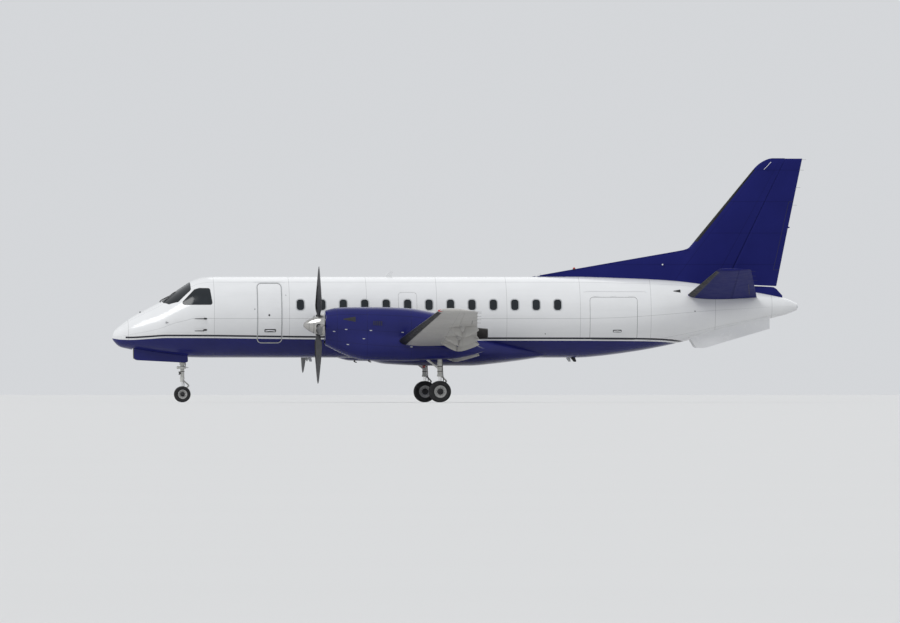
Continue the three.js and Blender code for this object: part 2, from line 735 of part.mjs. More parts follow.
// Two wheel centres on one axle, turned as one piece.
function wheelPair({ tyreRadius, tyreWidth, halfTrack }, axleRadius, bossHalf) {
  const seat = (0.54 * tyreRadius) / Math.cos(Math.PI / wheelFaces) - 1;
  const [inner, outer] = [halfTrack - 0.4 * tyreWidth, halfTrack + 0.4 * tyreWidth];
  const half = [
    [axleRadius, bossHalf + 8], [seat * 0.6, bossHalf + 8], [seat, inner], [seat, outer],
    [seat * 0.86, outer], [seat * 0.74, outer - 36], [seat * 0.3, outer - 24], [0, outer + 6],
  ];
  const other = half.toReversed().map(([radius, y]) => [radius, -y]);
  return turned([...other, ...half], wheelFaces);
}

// The ring at the foot of a leg that the axle turns in.
const axleBoss = (station, centre, height, radius, half) => (
  bar([station, centre - half, height], [station, centre + half, height], radius, 20)
);

function addWheels(prefix, gear, centre, axleRadius, bossHalf, tyreNames) {
  const height = gear.tyreRadius - centrelineHeight;
  const hubs = wheelPair(gear, axleRadius, bossHalf);
  add(`${prefix}_wheel_hubs`, hubs, hubPaint, [gear.station, centre, height]);
  tyreNames.forEach((tyreName, i) => {
    const y = centre + (i === 0 ? -1 : 1) * gear.halfTrack;
    add(`${prefix}_tyre_${tyreName}`, tyre(gear), rubber, [gear.station, y, height]);
  });
}

// Nose leg: fixed outer cylinder and drag strut, and a fork that steers inside it
const noseAxleHeight = noseGear.tyreRadius - centrelineHeight;
const noseCylinder = { radius: 58, bore: 44, top: noseBay.roof - fitGap, foot: -1760 };

add('nose_leg', cut(
  join(
    bar([2000, 0, noseCylinder.top], [2000, 0, noseCylinder.foot], noseCylinder.radius, 16),
    bar([2000, -150, -830], [2000, 150, -830], 45, 12),
    bar([1990, 0, -1330], [1330, 0, -840], 32, 10),
    bar([1330, -120, -840], [1330, 120, -840], 36, 10),
    bar([2000, 0, -1290], [2000, 0, -1370], 78, 16),
  ),
  bar([2000, 0, -1500], [2000, 0, -1800], noseCylinder.bore, 16),
), gearPaint);

const noseLinks = [[2052, -1800], [2215, -1935], [2215, -1965], [2040, -2135], [2020, -2100],
  [2160, -1950], [2040, -1835]];
const towLug = [[1880, -2230], [1960, -2230], [1960, -2160], [1880, -2160]];
add('nose_fork', cut(
  join(
    bar([2000, 0, -1540], [2000, 0, noseAxleHeight], 36, 16),
    bar([2000, 0, -1768], [2000, 0, -1850], 62, 16),
    sidePrism(noseLinks, -32, 32),
    sidePrism(towLug, -28, 28),
    axleBoss(2000, 0, noseAxleHeight, 54, 63),
  ),
  axleBoss(2000, 0, noseAxleHeight, 33, 200),
), gearPaint);
addWheels('nose', noseGear, 0, 28, 64, ['left', 'right']);

// Main legs: one solid each, from the trunnion in the bay down to the axle
const mainAxleHeight = mainGear.tyreRadius - centrelineHeight;

for (const [name, side] of sides) {
  const centre = side * engineReach;
  const at = mainGear.station;
  const links = [[at + 55, -1655], [at + 210, -1815], [at + 210, -1850], [at + 45, -2060],
    [at + 30, -2010], [at + 140, -1832], [at + 40, -1710]];
  add(`main_leg_${name}`, cut(
    join(
      bar([at, centre, mainBay.roof - fitGap], [at, centre, -1690], 68, 16),
      bar([at, centre, -1600], [at, centre, mainAxleHeight], 48, 16),
      bar([at, centre - 155, -1110], [at, centre + 155, -1110], 55, 12),
      bar([at, centre, -1500], [mainBay.from + 70, centre, -1090], 34, 10),
      bar([mainBay.from + 70, centre - 150, -1090], [mainBay.from + 70, centre + 150, -1090], 38, 10),
      bar([at, centre, -1640], [at, centre, -1700], 82, 16),
      sidePrism(links, centre - 38, centre + 38),
      axleBoss(at, centre, mainAxleHeight, 74, 84),
    ),
    axleBoss(at, centre, mainAxleHeight, 47, 200),
  ), gearPaint);
  const tyreNames = side === left ? ['outer', 'inner'] : ['inner', 'outer'];
  addWheels(`main_${name}`, mainGear, centre, 40, 84, tyreNames);
}

// The origin goes to the ground, midway between the nose tip and the rudder's trailing edge
aircraft.position.set(-overallLength / 2, 0, centrelineHeight);
export default aircraft;
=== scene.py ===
import math

import bmesh
import bpy
import mathutils
import numpy as np
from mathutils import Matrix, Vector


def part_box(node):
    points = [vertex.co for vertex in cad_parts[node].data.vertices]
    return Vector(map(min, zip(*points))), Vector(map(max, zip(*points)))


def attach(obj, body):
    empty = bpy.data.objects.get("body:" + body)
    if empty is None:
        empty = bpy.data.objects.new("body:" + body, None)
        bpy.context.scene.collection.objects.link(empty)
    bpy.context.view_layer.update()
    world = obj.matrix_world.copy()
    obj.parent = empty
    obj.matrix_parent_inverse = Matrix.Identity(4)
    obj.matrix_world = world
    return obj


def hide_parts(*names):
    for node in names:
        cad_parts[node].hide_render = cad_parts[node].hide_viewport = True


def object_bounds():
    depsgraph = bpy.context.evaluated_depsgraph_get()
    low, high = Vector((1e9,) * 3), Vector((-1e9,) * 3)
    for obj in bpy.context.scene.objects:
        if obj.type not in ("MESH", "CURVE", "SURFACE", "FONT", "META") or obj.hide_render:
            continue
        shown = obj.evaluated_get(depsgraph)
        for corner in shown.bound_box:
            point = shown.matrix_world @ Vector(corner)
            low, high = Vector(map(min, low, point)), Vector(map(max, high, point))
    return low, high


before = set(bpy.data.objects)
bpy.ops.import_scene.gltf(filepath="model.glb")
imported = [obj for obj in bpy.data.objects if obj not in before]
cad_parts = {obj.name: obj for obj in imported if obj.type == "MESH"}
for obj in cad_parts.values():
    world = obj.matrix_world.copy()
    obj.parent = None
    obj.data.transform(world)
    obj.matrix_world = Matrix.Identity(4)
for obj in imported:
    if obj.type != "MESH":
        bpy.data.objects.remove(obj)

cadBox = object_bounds()
cabinLow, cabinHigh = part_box("cabin_centre")
origin = np.array([cadBox[0][0], 0.0, (cabinLow.z + cabinHigh.z) / 2])
sides = {"left": -1, "right": 1}
turn = 2 * math.pi


# Curves and grids

def smoothCurve(at, xs, ys):
    # cubic pieces through the rows; the slope at a row is the harmonic mean of the slopes beside it,
    # or none where they change sign, so nothing overshoots
    at, xs, ys = (np.asarray(values, float) for values in (at, xs, ys))
    step = np.diff(xs)
    rise = np.diff(ys) / step
    product = rise[:-1] * rise[1:]
    total = np.where(product > 0, rise[:-1] + rise[1:], 1)
    slope = np.concatenate([rise[:1], np.where(product > 0, 2 * product / total, 0), rise[-1:]])
    row = np.clip(np.searchsorted(xs, at) - 1, 0, len(step) - 1)
    t = np.clip((at - xs[row]) / step[row], 0, 1)
    start = (2 * t ** 3 - 3 * t ** 2 + 1) * ys[row] + (t ** 3 - 2 * t ** 2 + t) * step[row] * slope[row]
    end = (3 * t ** 2 - 2 * t ** 3) * ys[row + 1] + (t ** 3 - t ** 2) * step[row] * slope[row + 1]
    return start + end


def eased(count, power=1.0):
    # shares from 0 to 1, closer together at both ends the nearer power is to 1
    even = np.linspace(0, 1, count)
    return (1 - power) * even + power * (1 - np.cos(math.pi * even)) / 2


def roundedOutline(corners, radius, steps=6, gap=0.05):
    # each corner becomes an arc tangent to its two edges, and long edges get points a gap apart
    corners = np.asarray(corners, float)
    radii = np.broadcast_to(radius, len(corners))
    into = corners - np.roll(corners, 1, 0)
    away = np.roll(corners, -1, 0) - corners
    into /= np.linalg.norm(into, axis=1)[:, None]
    away /= np.linalg.norm(away, axis=1)[:, None]
    bend = np.arccos(np.clip((into * away).sum(1), -1, 1))
    reach = radii * np.tan(bend / 2)
    start, end = corners - into * reach[:, None], corners + away * reach[:, None]
    t = np.linspace(0, 1, steps)[None, :, None]
    weight = 1 / np.maximum(np.cos(bend / 2), 0.05)[:, None, None]
    a, b, c = (1 - t) ** 2, 2 * t * (1 - t) / weight, t ** 2
    arc = (a * start[:, None] + b * corners[:, None] + c * end[:, None]) / (a + b + c)
    points = arc.reshape(-1, 2)
    edge = np.roll(points, -1, 0) - points
    counts = np.maximum(np.ceil(np.linalg.norm(edge, axis=1) / gap), 1).astype(int)
    number = np.arange(counts.sum()) - np.repeat(np.cumsum(counts) - counts, counts)
    share = (number / np.repeat(counts, counts))[:, None]
    return np.repeat(points, counts, 0) + np.repeat(edge, counts, 0) * share


def grownOutline(outline, distance):
    # every point moves out along the mean of its two edge normals
    outline = np.asarray(outline, float)
    edge = np.roll(outline, -1, 0) - outline
    length = np.linalg.norm(edge, axis=1)[:, None]
    edge = edge / np.maximum(length, 1e-9)
    normal = np.stack([edge[:, 1], -edge[:, 0]], 1)
    mean = normal + np.roll(normal, 1, 0)
    mean /= np.maximum((mean ** 2).sum(1)[:, None] / 2, 0.3)
    x, y = outline.T
    area = (x * np.roll(y, -1) - y * np.roll(x, -1)).sum()
    return outline + mean * distance * np.sign(area)


def pointsOf(x, y, z):
    # three coordinates, spread to one size, as points
    return np.stack(np.broadcast_arrays(x, y, z), -1)


def placed(name, data):
    # a mesh, a light or a camera as an object of the scene
    made = bpy.data.objects.new(name, data)
    bpy.context.scene.collection.objects.link(made)
    return made


class Shape:
    # gathers closed surfaces, each a grid of points, with a finish number for every face
    def __init__(self):
        self.points, self.faces, self.finishes, self.count = [], [], [], 0

    def grid(self, points, finish=0, ring=False, caps=(False, False)):
        # quads join each closed row of points to the next; ring joins the last row to the first
        rows, columns = points.shape[:2]
        i, j = np.arange(rows if ring else rows - 1)[:, None], np.arange(columns)[None]
        row, nextRow, nextColumn = i * columns, (i + 1) % rows * columns, (j + 1) % columns
        corners = (row + j, row + nextColumn, nextRow + nextColumn, nextRow + j)
        self.points.append(points.reshape(-1, 3))
        self.faces += (np.stack(corners, -1).reshape(-1, 4) + self.count).tolist()
        self.finishes += np.broadcast_to(finish, corners[0].shape).reshape(-1).tolist()
        for wanted, number in zip(caps, (0, rows - 1)):
            if wanted:
                first = self.count + number * columns
                self.faces.append(list(range(first, first + columns)))
                self.finishes.append(int(np.ravel(finish)[-1 if number else 0]))
        self.count += rows * columns
        return self

    def capped(self, points, finish=0):
        # a grid whose first and last rows are filled
        return self.grid(points, finish, caps=(True, True))

    def slab(self, top, bottom, finish=0):
        # two open grids of the same size, joined round their edges into a closed plate
        rows, columns = top.shape[:2]
        number = np.arange(rows * columns).reshape(rows, columns) + self.count
        border = np.concatenate([number[0, :-1], number[:-1, -1], number[-1, :0:-1], number[:0:-1, 0]])
        under = rows * columns
        quads = np.stack([number[:-1, :-1], number[:-1, 1:], number[1:, 1:], number[1:, :-1]], -1)
        quads = quads.reshape(-1, 4)
        wall = np.stack([border, border + under, np.roll(border, -1) + under, np.roll(border, -1)], -1)
        faces = np.concatenate([quads, quads[:, ::-1] + under, wall])
        self.points += [top.reshape(-1, 3), bottom.reshape(-1, 3)]
        self.faces += faces.tolist()
        self.finishes += [finish] * len(faces)
        self.count += 2 * under
        return self

    def lathe(self, profile, centre, axis, sides=48, finish=0, closed=False):
        # a profile of radius and distance along the axis, turned about it
        radius, along = np.asarray(profile, float).T
        axis = np.asarray(axis, float) / np.linalg.norm(axis)
        first = np.cross(axis, [0, 0, 1] if abs(axis[2]) < 0.9 else [1, 0, 0])
        first /= np.linalg.norm(first)
        second = np.cross(axis, first)
        angle = turn * np.arange(sides) / sides
        spoke = np.cos(angle)[:, None] * first + np.sin(angle)[:, None] * second
        points = np.asarray(centre) + radius[:, None, None] * spoke + along[:, None, None] * axis
        ends = (not closed and radius[0] > 1e-6, not closed and radius[-1] > 1e-6)
        return self.grid(points, finish, ring=closed, caps=ends)

    def rod(self, start, end, radius, finish=0, sides=24):
        # a round bar with its two edges taken off
        start, end = np.asarray(start, float), np.asarray(end, float)
        length = np.linalg.norm(end - start)
        cut = min(0.15 * radius, length / 4)
        profile = [[0, 0], [radius - cut, 0], [radius, cut], [radius, length - cut],
                   [radius - cut, length], [0, length]]
        return self.lathe(profile, start, end - start, sides, finish)

    def tube(self, path, radius, finish=0, sides=12, smooth=8):
        # a circle carried along a curve through the points; its frame turns with the curve
        path = np.asarray(path, float)
        if smooth > 1 and len(path) > 2:
            along = np.concatenate([[0], np.linalg.norm(np.diff(path, axis=0), axis=1).cumsum()])
            fine = np.linspace(0, along[-1], (len(path) - 1) * smooth + 1)
            path = np.stack([smoothCurve(fine, along, column) for column in path.T], 1)
        tangent = np.gradient(path, axis=0)
        tangent /= np.linalg.norm(tangent, axis=1)[:, None]
        normal = [np.cross(tangent[0], np.eye(3)[np.argmin(abs(tangent[0]))])]
        for direction in tangent[1:]:
            normal.append(normal[-1] - direction * (normal[-1] @ direction))
        normal = np.array(normal) / np.linalg.norm(normal, axis=1)[:, None]
        other = np.cross(tangent, normal)
        angle = turn * np.arange(sides) / sides
        circle = (np.cos(angle)[None, :, None] * normal[:, None]
                  + np.sin(angle)[None, :, None] * other[:, None])
        radius = np.broadcast_to(radius, len(path))[:, None, None]
        return self.capped(path[:, None] + circle * radius, finish)

    def plate(self, outline, place, low, high, finish=0, bevel=0.004):
        # a flat outline given a thickness and a small bevel; place turns u, v and w into a point
        inset = grownOutline(outline, -bevel)
        bevel = min(bevel, abs(high - low) / 3) * np.sign(high - low)
        layers = [(inset, low), (outline, low + bevel), (outline, high - bevel), (inset, high)]
        points = np.array([place(*edge.T, depth) for edge, depth in layers])
        return self.capped(points, finish)

    def build(self, name, kinds="", sharp=35):
        # one mesh from all the grids: shared points merged, faces turned outwards, edges kept crisp
        mesh = bpy.data.meshes.new(name)
        mesh.from_pydata((np.concatenate(self.points) + origin).tolist(), [], self.faces)
        mesh.polygons.foreach_set("material_index", np.array(self.finishes, np.int32))
        for kind in kinds.split():
            mesh.materials.append(finishes[kind].material)
        merge = 1e-5
        work = bmesh.new()
        work.from_mesh(mesh)
        bmesh.ops.remove_doubles(work, verts=work.verts, dist=merge)
        bmesh.ops.dissolve_degenerate(work, edges=work.edges, dist=merge / 2)
        bmesh.ops.recalc_face_normals(work, faces=work.faces)
        work.to_mesh(mesh)
        work.free()
        mesh.shade_smooth()
        mesh.set_sharp_from_angle(angle=math.radians(sharp))
        return placed(name, mesh)


def carve(piece, cutter):
    # a boolean with a second closed mesh, which is then thrown away
    change = piece.modifiers.new("carve", "BOOLEAN")
    change.object, change.operation, change.solver = cutter, "DIFFERENCE", "EXACT"
    with bpy.context.temp_override(object=piece, active_object=piece):
        bpy.ops.object.modifier_apply(modifier=change.name)
    spare = cutter.data
    bpy.data.objects.remove(cutter)
    bpy.data.meshes.remove(spare)
    piece.data.set_sharp_from_angle(angle=math.radians(35))


def fit(piece, body, slot, *nodes):
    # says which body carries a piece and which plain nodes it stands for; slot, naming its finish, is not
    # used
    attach(piece, body)
    if nodes:
        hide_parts(*nodes)


def sidePlace(side=1, y=0.0):
    # u is the station, v the height and w the distance out from y
    return lambda u, v, w: pointsOf(u, side * (y + w), v)


# Finishes

class Finish:
    # a material whose nodes are added one call at a time
    def __init__(self, name, colour, roughness, metal=0.0, coat=0.0):
        self.material = bpy.data.materials.new(name)
        self.material.use_nodes = True
        self.tree = self.material.node_tree
        self.shader = self.tree.nodes["Principled BSDF"]
        self.set("Base Color", (*colour, 1))
        self.set("Roughness", roughness)
        self.set("Metallic", metal)
        self.set("Coat Weight", coat)
        self.set("Coat Roughness", 0.06)
        self.place = self.node("TexCoord").outputs["Object"]
        self.relief = None

    def feed(self, socket, value):
        # a fixed value, or a link from another node
        if isinstance(value, bpy.types.NodeSocket):
            self.tree.links.new(value, socket)
        else:
            socket.default_value = value

    def set(self, name, value):
        self.feed(self.shader.inputs[name], value)

    def node(self, kind, inputs=(), **settings):
        made = self.tree.nodes.new("ShaderNode" + kind)
        for key, value in settings.items():
            setattr(made, key, value)
        for socket, value in dict(inputs).items():
            self.feed(made.inputs[socket], value)
        return made

    def math(self, operation, first, second=0.0, third=0.0):
        return self.node("Math", {0: first, 1: second, 2: third}, operation=operation).outputs[0]

    def measure(self, name):
        # a number that the mesh keeps for each of its points
        return self.node("Attribute", {}, attribute_name=name).outputs["Fac"]

    def noise(self, scale, detail=4.0, roughness=0.55, stretch=(1, 1, 1)):
        place = self.node("Mapping", {"Vector": self.place, "Scale": stretch}).outputs[0]
        inputs = {"Vector": place, "Scale": scale, "Detail": detail, "Roughness": roughness}
        return self.node("TexNoise", inputs).outputs["Fac"]

    def ramp(self, value, stops, interpolation="LINEAR"):
        # colours, or greys given as one number, at rising values
        ramp = self.node("ValToRGB", {"Fac": value})
        ramp.color_ramp.interpolation = interpolation
        elements = ramp.color_ramp.elements
        while len(elements) < len(stops):
            elements.new(1.0)
        for element, (position, colour) in zip(elements, stops):
            element.position = position
            element.color = (*(colour if isinstance(colour, tuple) else (colour,) * 3), 1)
        return ramp.outputs["Color"]

    def mix(self, share, first, second):
        # a colour between two; sockets 6 and 7 are those of the colours
        first, second = ((*value, 1) if isinstance(value, tuple) else value for value in (first, second))
        return self.node("Mix", {0: share, 6: first, 7: second}, data_type="RGBA").outputs[2]

    def near(self, distance, full, none):
        # 1 up to one distance, falling to 0 at another
        return self.node("MapRange", {"Value": distance, "From Min": none, "From Max": full}).outputs[0]

    def lines(self, value, positions, width):
        # 1 on each of the given positions, falling to 0 half a width away
        nearest = None
        for position in positions:
            away = self.math("ABSOLUTE", self.math("SUBTRACT", value, position))
            nearest = away if nearest is None else self.math("MINIMUM", nearest, away)
        return self.near(nearest, width / 4, width / 2)

    def dots(self, rows, across, pitch, spacing, size):
        # round heads a spacing apart, in rows a pitch apart
        first = self.math("WRAP", rows, pitch / 2, -pitch / 2)
        second = self.math("WRAP", across, spacing / 2, -spacing / 2)
        squares = self.math("MULTIPLY_ADD", first, first, self.math("MULTIPLY", second, second))
        return self.near(self.math("SQRT", squares), size / 2, size)

    def vary(self, colour, amount, scale, detail=4.0):
        # the colour, darker and lighter by amount in soft patches
        low = tuple(channel * (1 - amount) for channel in colour)
        high = tuple(min(1.0, channel * (1 + amount)) for channel in colour)
        return self.ramp(self.noise(scale, detail), [(0.3, low), (0.7, high)])

    def bump(self, height, strength, distance):
        # one more relief on top of those before it
        inputs = {"Strength": strength, "Distance": distance, "Height": height}
        if self.relief is not None:
            inputs["Normal"] = self.relief
        self.relief = self.node("Bump", inputs).outputs[0]
        self.set("Normal", self.relief)
        return self


colours = {  # linear red, green, blue
    "white": (0.78, 0.785, 0.79),
    "navy": (0.0135, 0.016, 0.125),
    "wing": (0.45, 0.44, 0.42),
    "boot": (0.012, 0.012, 0.013),
    "stripeDark": (0.02, 0.02, 0.03),
    "gear": (0.66, 0.66, 0.62),
    "hub": (0.45, 0.45, 0.44),
    "grime": (0.075, 0.06, 0.045),
    "blade": (0.045, 0.046, 0.05),
    "primer": (0.2, 0.195, 0.17),
}


def skinPlace(piece, along, around, **others):
    # two lengths over the skin for every point, kept on the mesh for joints and rivets
    mesh = piece.data
    place = np.empty(len(mesh.vertices) * 3, np.float32)
    mesh.vertices.foreach_get("co", place)
    x, y, z = (place.reshape(-1, 3) - origin).T
    for name, measure in {"skinAlong": along, "skinAround": around, **others}.items():
        value = np.broadcast_to(measure(x, y, z), len(x)).astype(np.float32)
        mesh.attributes.new(name, "FLOAT", "POINT").data.foreach_set("value", value)


sheet = {  # metres: joint lines, and the rivets' spacing, size and relief
    "jointWidth": 0.012, "jointDepth": 0.003, "rivetSpacing": 0.038, "rivetHead": 0.0055, "rivetRise": 0.0012,
}


def paint(name, colour, joints=((), ()), rivets=(0, 0), roughness=0.24, variation=0.05, dust=0.2,
          coat=0.3, specular=0.5):
    # glossy paint over riveted sheet: faint patches, dark joint lines, rows of rivet heads, and
    # light dirt that streaks aft
    made = Finish(name, colour, roughness, coat=coat)
    made.set("Specular IOR Level", specular)
    measures = [made.measure(key) for key in ("skinAlong", "skinAround")]
    base = made.vary(colour, variation, 1.3)
    dirt = made.ramp(made.noise(1.6, 7, 0.6, (0.22, 1.6, 2.6)), [(0.5, 0.0), (0.85, dust)])
    base = made.mix(dirt, base, tuple(channel * 0.6 + 0.012 for channel in colour))
    for measure, positions in zip(measures, joints):
        if len(positions):
            line = made.lines(measure, positions, sheet["jointWidth"])
            shade = tuple(channel * 0.3 for channel in colour)
            base = made.mix(made.math("MULTIPLY", line, 0.6), base, shade)
            made.bump(made.math("MULTIPLY", line, -1.0), 0.5, sheet["jointDepth"])
    for (rows, across), pitch in zip((measures, measures[::-1]), rivets):
        if pitch:
            heads = made.dots(rows, across, pitch, sheet["rivetSpacing"], sheet["rivetHead"])
            made.bump(heads, 0.35, sheet["rivetRise"])
    made.set("Base Color", base)
    made.set("Roughness", made.ramp(made.noise(3.5, 5), [(0.3, roughness - 0.03), (0.7, roughness + 0.05)]))
    return made.bump(made.noise(1.1, 2), 0.015, 0.02)


livery = {  # station and height of the edge where the white stripe sits on the navy
    "edge": [(0.0, -0.61), (0.24, -0.645), (0.5, -0.652), (1.0, -0.627), (1.5, -0.597), (2.6, -0.6),
             (4.4, -0.622), (7.0, -0.648), (10.5, -0.672), (13.5, -0.676), (15.0, -0.686), (15.6, -0.703),
             (16.1, -0.745), (16.45, -0.82), (16.75, -0.96), (17.2, -1.3)],
    # heights of the two stripes, the station where the dark one starts, half the ramps' span
    "white": 0.042, "dark": 0.048, "darkFrom": 0.36, "span": 0.5,
}


def hullArc(x, y, z):
    # the angle from the top on the ring's own ellipse, as a length on the cabin
    wide, middle, top, bottom = hullRow(x)
    tall = np.where(z > middle, top - middle, middle - bottom)
    return 1.155 * np.abs(np.arctan2(y / np.maximum(wide, 0.001), (z - middle) / np.maximum(tall, 0.001)))


def aboveNavy(x, y, z):
    # the height above the navy edge at the same station
    return z - smoothCurve(x, *np.array(livery["edge"]).T)


def stationOf(x, y, z):
    return x


def hullPaint():
    # white over navy, with a white stripe and a dark line along the edge between them
    made = paint("hull_paint", colours["white"], (hull["joints"], hull["laps"]), (hull["rivetPitch"], 0.62),
                 0.2, 0.02, 0.14)
    span = livery["span"]
    scaled = made.node("MapRange", {"Value": made.measure("aboveNavy"), "From Min": -span,
                                    "From Max": span}).outputs[0]
    edge, darkFrom = 0.5, 0.5 + livery["white"] / (2 * span)
    navyShare = made.ramp(scaled, [(0.0, 1.0), (edge, 0.0)], "CONSTANT")
    base = made.shader.inputs["Base Color"].links[0].from_socket
    navy = made.vary(colours["navy"], 0.1, 1.3)
    dark = made.ramp(scaled, [(0.0, 0.0), (darkFrom, 1.0), (darkFrom + livery["dark"] / (2 * span), 0.0)],
                     "CONSTANT")
    behind = made.math("GREATER_THAN", made.measure("skinAlong"), livery["darkFrom"])
    dark = made.math("MULTIPLY", dark, behind)
    base = made.mix(dark, made.mix(navyShare, base, navy), colours["stripeDark"])
    made.set("Base Color", base)
    made.set("Specular IOR Level", 0.28)
    made.set("Coat Weight", made.ramp(scaled, [(0.0, 0.03), (edge, 0.4)], "CONSTANT"))
    return made


def plain(name, colour, roughness, metal=0.0, coat=0.0, variation=0.12, scale=14.0, grain=0.0, grime=0.0,
          specular=0.5):
    # one finish with soft patches in colour and roughness, a fine grain and patches of grime
    made = Finish(name, colour, roughness, metal, coat)
    made.set("Specular IOR Level", specular)
    base = made.vary(colour, variation, scale, 6)
    if grime:
        stain = made.ramp(made.noise(scale * 0.6, 7, 0.7), [(0.5, 0.0), (0.72, grime)])
        base = made.mix(stain, base, colours["grime"])
    made.set("Base Color", base)
    low, high = max(0.02, roughness * 0.75), min(1.0, roughness * 1.3 + 0.02)
    made.set("Roughness", made.ramp(made.noise(scale * 1.7, 5), [(0.3, low), (0.7, high)]))
    made.bump(made.noise(scale * 30, 3), 0.12 + grain, 0.0006)
    return made


# Fuselage

hull = {
    # station, half width, height of the widest point, top, bottom
    "rows": [[0, 0, -0.59, -0.59, -0.59], [0.05, 0.17, -0.556, -0.415, -0.7],
             [0.24, 0.36, -0.545, -0.24, -0.857], [0.44, 0.49, -0.495, -0.085, -0.905],
             [0.82, 0.67, -0.42, 0.14, -0.98], [1.11, 0.775, -0.355, 0.29, -1.022],
             [1.375, 0.868, -0.28, 0.435, -1.06], [1.7, 0.952, -0.15, 0.66, -1.1],
             [2.08, 1.038, -0.05, 0.913, -1.137], [2.28, 1.075, 0, 1.033, -1.148],
             [2.57, 1.12, 0, 1.128, -1.154], [2.86, 1.15, 0, 1.155, -1.155],
             [3.2, 1.155, 0, 1.155, -1.155], [13.3, 1.155, 0, 1.155, -1.155],
             [13.9, 1.132, 0.012, 1.142, -1.11], [14.55, 1.09, 0.03, 1.12, -1.03],
             [15.33, 1.0, 0.08, 1.09, -0.907], [16.25, 0.84, 0.15, 1.03, -0.713],
             [17.2, 0.64, 0.22, 0.91, -0.46], [18.0, 0.48, 0.26, 0.78, -0.25],
             [18.84, 0.32, 0.3, 0.63, -0.03], [19.3, 0.205, 0.305, 0.52, 0.09],
             [19.57, 0.1, 0.3, 0.4, 0.2]],
    "around": 160, "joints": [0.44, 2.86, 5.0, 7.2, 9.2, 11.2, 13.3, 15.33, 17.2, 18.84],
    "rivetPitch": 0.508, "laps": [0.62, 1.86, 2.79],
    "straight": (3.2, 13.3), "bay": {"from": 0.56, "to": 2.18, "half": 0.225, "roof": -0.76},
}
hullTable = np.array(hull["rows"]).T
hullRoots = np.sqrt(hullTable[0])


def hullRow(station):
    # half width, widest height, top and bottom, smooth in the square root of the station
    root = np.sqrt(np.clip(station, 0, hullTable[0, -1]))
    return [smoothCurve(root, hullRoots, column) for column in hullTable[1:]]


def hullGrid(station, angle):
    # two half ellipses; the angle runs from the top towards the right
    wide, middle, top, bottom = hullRow(station)
    up = np.cos(angle)
    tall = np.where(up > 0, top - middle, middle - bottom)
    return pointsOf(station, wide * np.sin(angle), middle + up * tall)


def hullLevel(points):
    # 1 on the skin, less inside
    wide, middle, top, bottom = hullRow(points[..., 0])
    rise = points[..., 2] - middle
    tall = np.where(rise > 0, top - middle, middle - bottom)
    return (points[..., 1] / wide) ** 2 + (rise / tall) ** 2


def hullNormal(points):
    # the direction in which that level grows
    steps = np.eye(3) * 0.002
    slope = np.stack([hullLevel(points + step) - hullLevel(points - step) for step in steps], -1)
    return slope / np.linalg.norm(slope, axis=-1)[..., None]


def bead(shape, outline, place, radius, lift=0.0, finish=0, steps=10):
    # a round moulding along a closed outline
    rings = [place(*grownOutline(outline, radius * math.cos(angle)).T, lift + radius * math.sin(angle))
             for angle in turn * np.arange(steps) / steps]
    return shape.grid(np.stack(rings, 1), finish, ring=True)


def onFlank(side):
    # u is the station and v the height on one side of the hull, w the distance off the skin
    def place(u, v, w):
        wide, middle, top, bottom = hullRow(u)
        share = (v - middle) / np.where(v > middle, top - middle, middle - bottom)
        y = side * wide * np.sqrt(np.maximum(1 - share ** 2, 0.0004))
        points = np.stack([u, y, v], -1)
        return points + hullNormal(points) * np.asarray(w)[..., None]
    return place


def onDeck(face):
    # u is the station and v is y on the top or the underside of the hull
    def place(u, v, w):
        wide, middle, top, bottom = hullRow(u)
        tall = top - middle if face > 0 else bottom - middle
        points = np.stack([u, v, middle + tall * np.sqrt(np.maximum(1 - (v / wide) ** 2, 0.0004))], -1)
        return points + hullNormal(points) * np.asarray(w)[..., None]
    return place


def patch(shape, outline, place, low, high, finish=0, rings=7):
    # a filled outline laid on the skin between two distances off it: shrinking copies of the
    # outline run out from the centre on top and back in underneath
    outline = np.asarray(outline, float)
    centre = outline.mean(0)
    spread = centre + np.linspace(0, 1, rings)[:, None, None] * (outline - centre)
    top, under = (place(*np.moveaxis(spread, -1, 0), w) for w in (high, low))
    return shape.grid(np.concatenate([top, under[::-1]]), finish)


def band(inner, outer, place, low, high):
    # the four edges of a strip between two lines on the skin, from low to high off it
    edges = ((inner, low), (inner, high), (outer, high), (outer, low))
    return np.stack([place(*edge.T, w) for edge, w in edges], 1)


def seam(shape, outline, place, width, low, high, finish=0):
    # a closed strip along an outline, from its line outwards
    return shape.grid(band(outline, grownOutline(outline, width), place, low, high), finish, ring=True)


def trail(shape, path, place, width, low, high, finish=0, count=24):
    # an open strip along a path on the skin
    path = np.asarray(path, float)
    along = np.concatenate([[0], np.linalg.norm(np.diff(path, axis=0), axis=1).cumsum()])
    fine = np.linspace(0, along[-1], count)
    path = np.stack([np.interp(fine, along, column) for column in path.T], 1)
    step = np.gradient(path, axis=0)
    off = np.stack([step[:, 1], -step[:, 0]], 1) / np.linalg.norm(step, axis=1)[:, None] * width / 2
    return shape.capped(band(path - off, path + off, place, low, high), finish)


glazing = {
    "windscreen": [[1.4, 0.045], [1.45, 0.4], [1.59, 0.64], [1.85, 0.77], [2.2, 0.67], [2.19, 0.045]],
    "sideWindow": [[1.905, 0.355], [2.8, 0.355], [2.735, 0.81], [2.44, 0.815], [2.31, 0.775]],
    "corner": 0.05, "gap": 0.012, "depth": 0.03,
    "cabinWindows": 13, "firstWindow": 5.31, "windowPitch": 0.6117, "windowHeight": 0.345,
    "windowSize": (0.24, 0.33), "windowCorner": 0.095,
}


doors = {
    # station from and to, height from and to, corner
    "boxes": {"passenger": (4.1, 4.77, -0.72, 0.95, 0.11), "cargo": (13.58, 14.93, -0.64, 0.56, 0.09)},
    "gap": 0.008, "depth": 0.03,
}


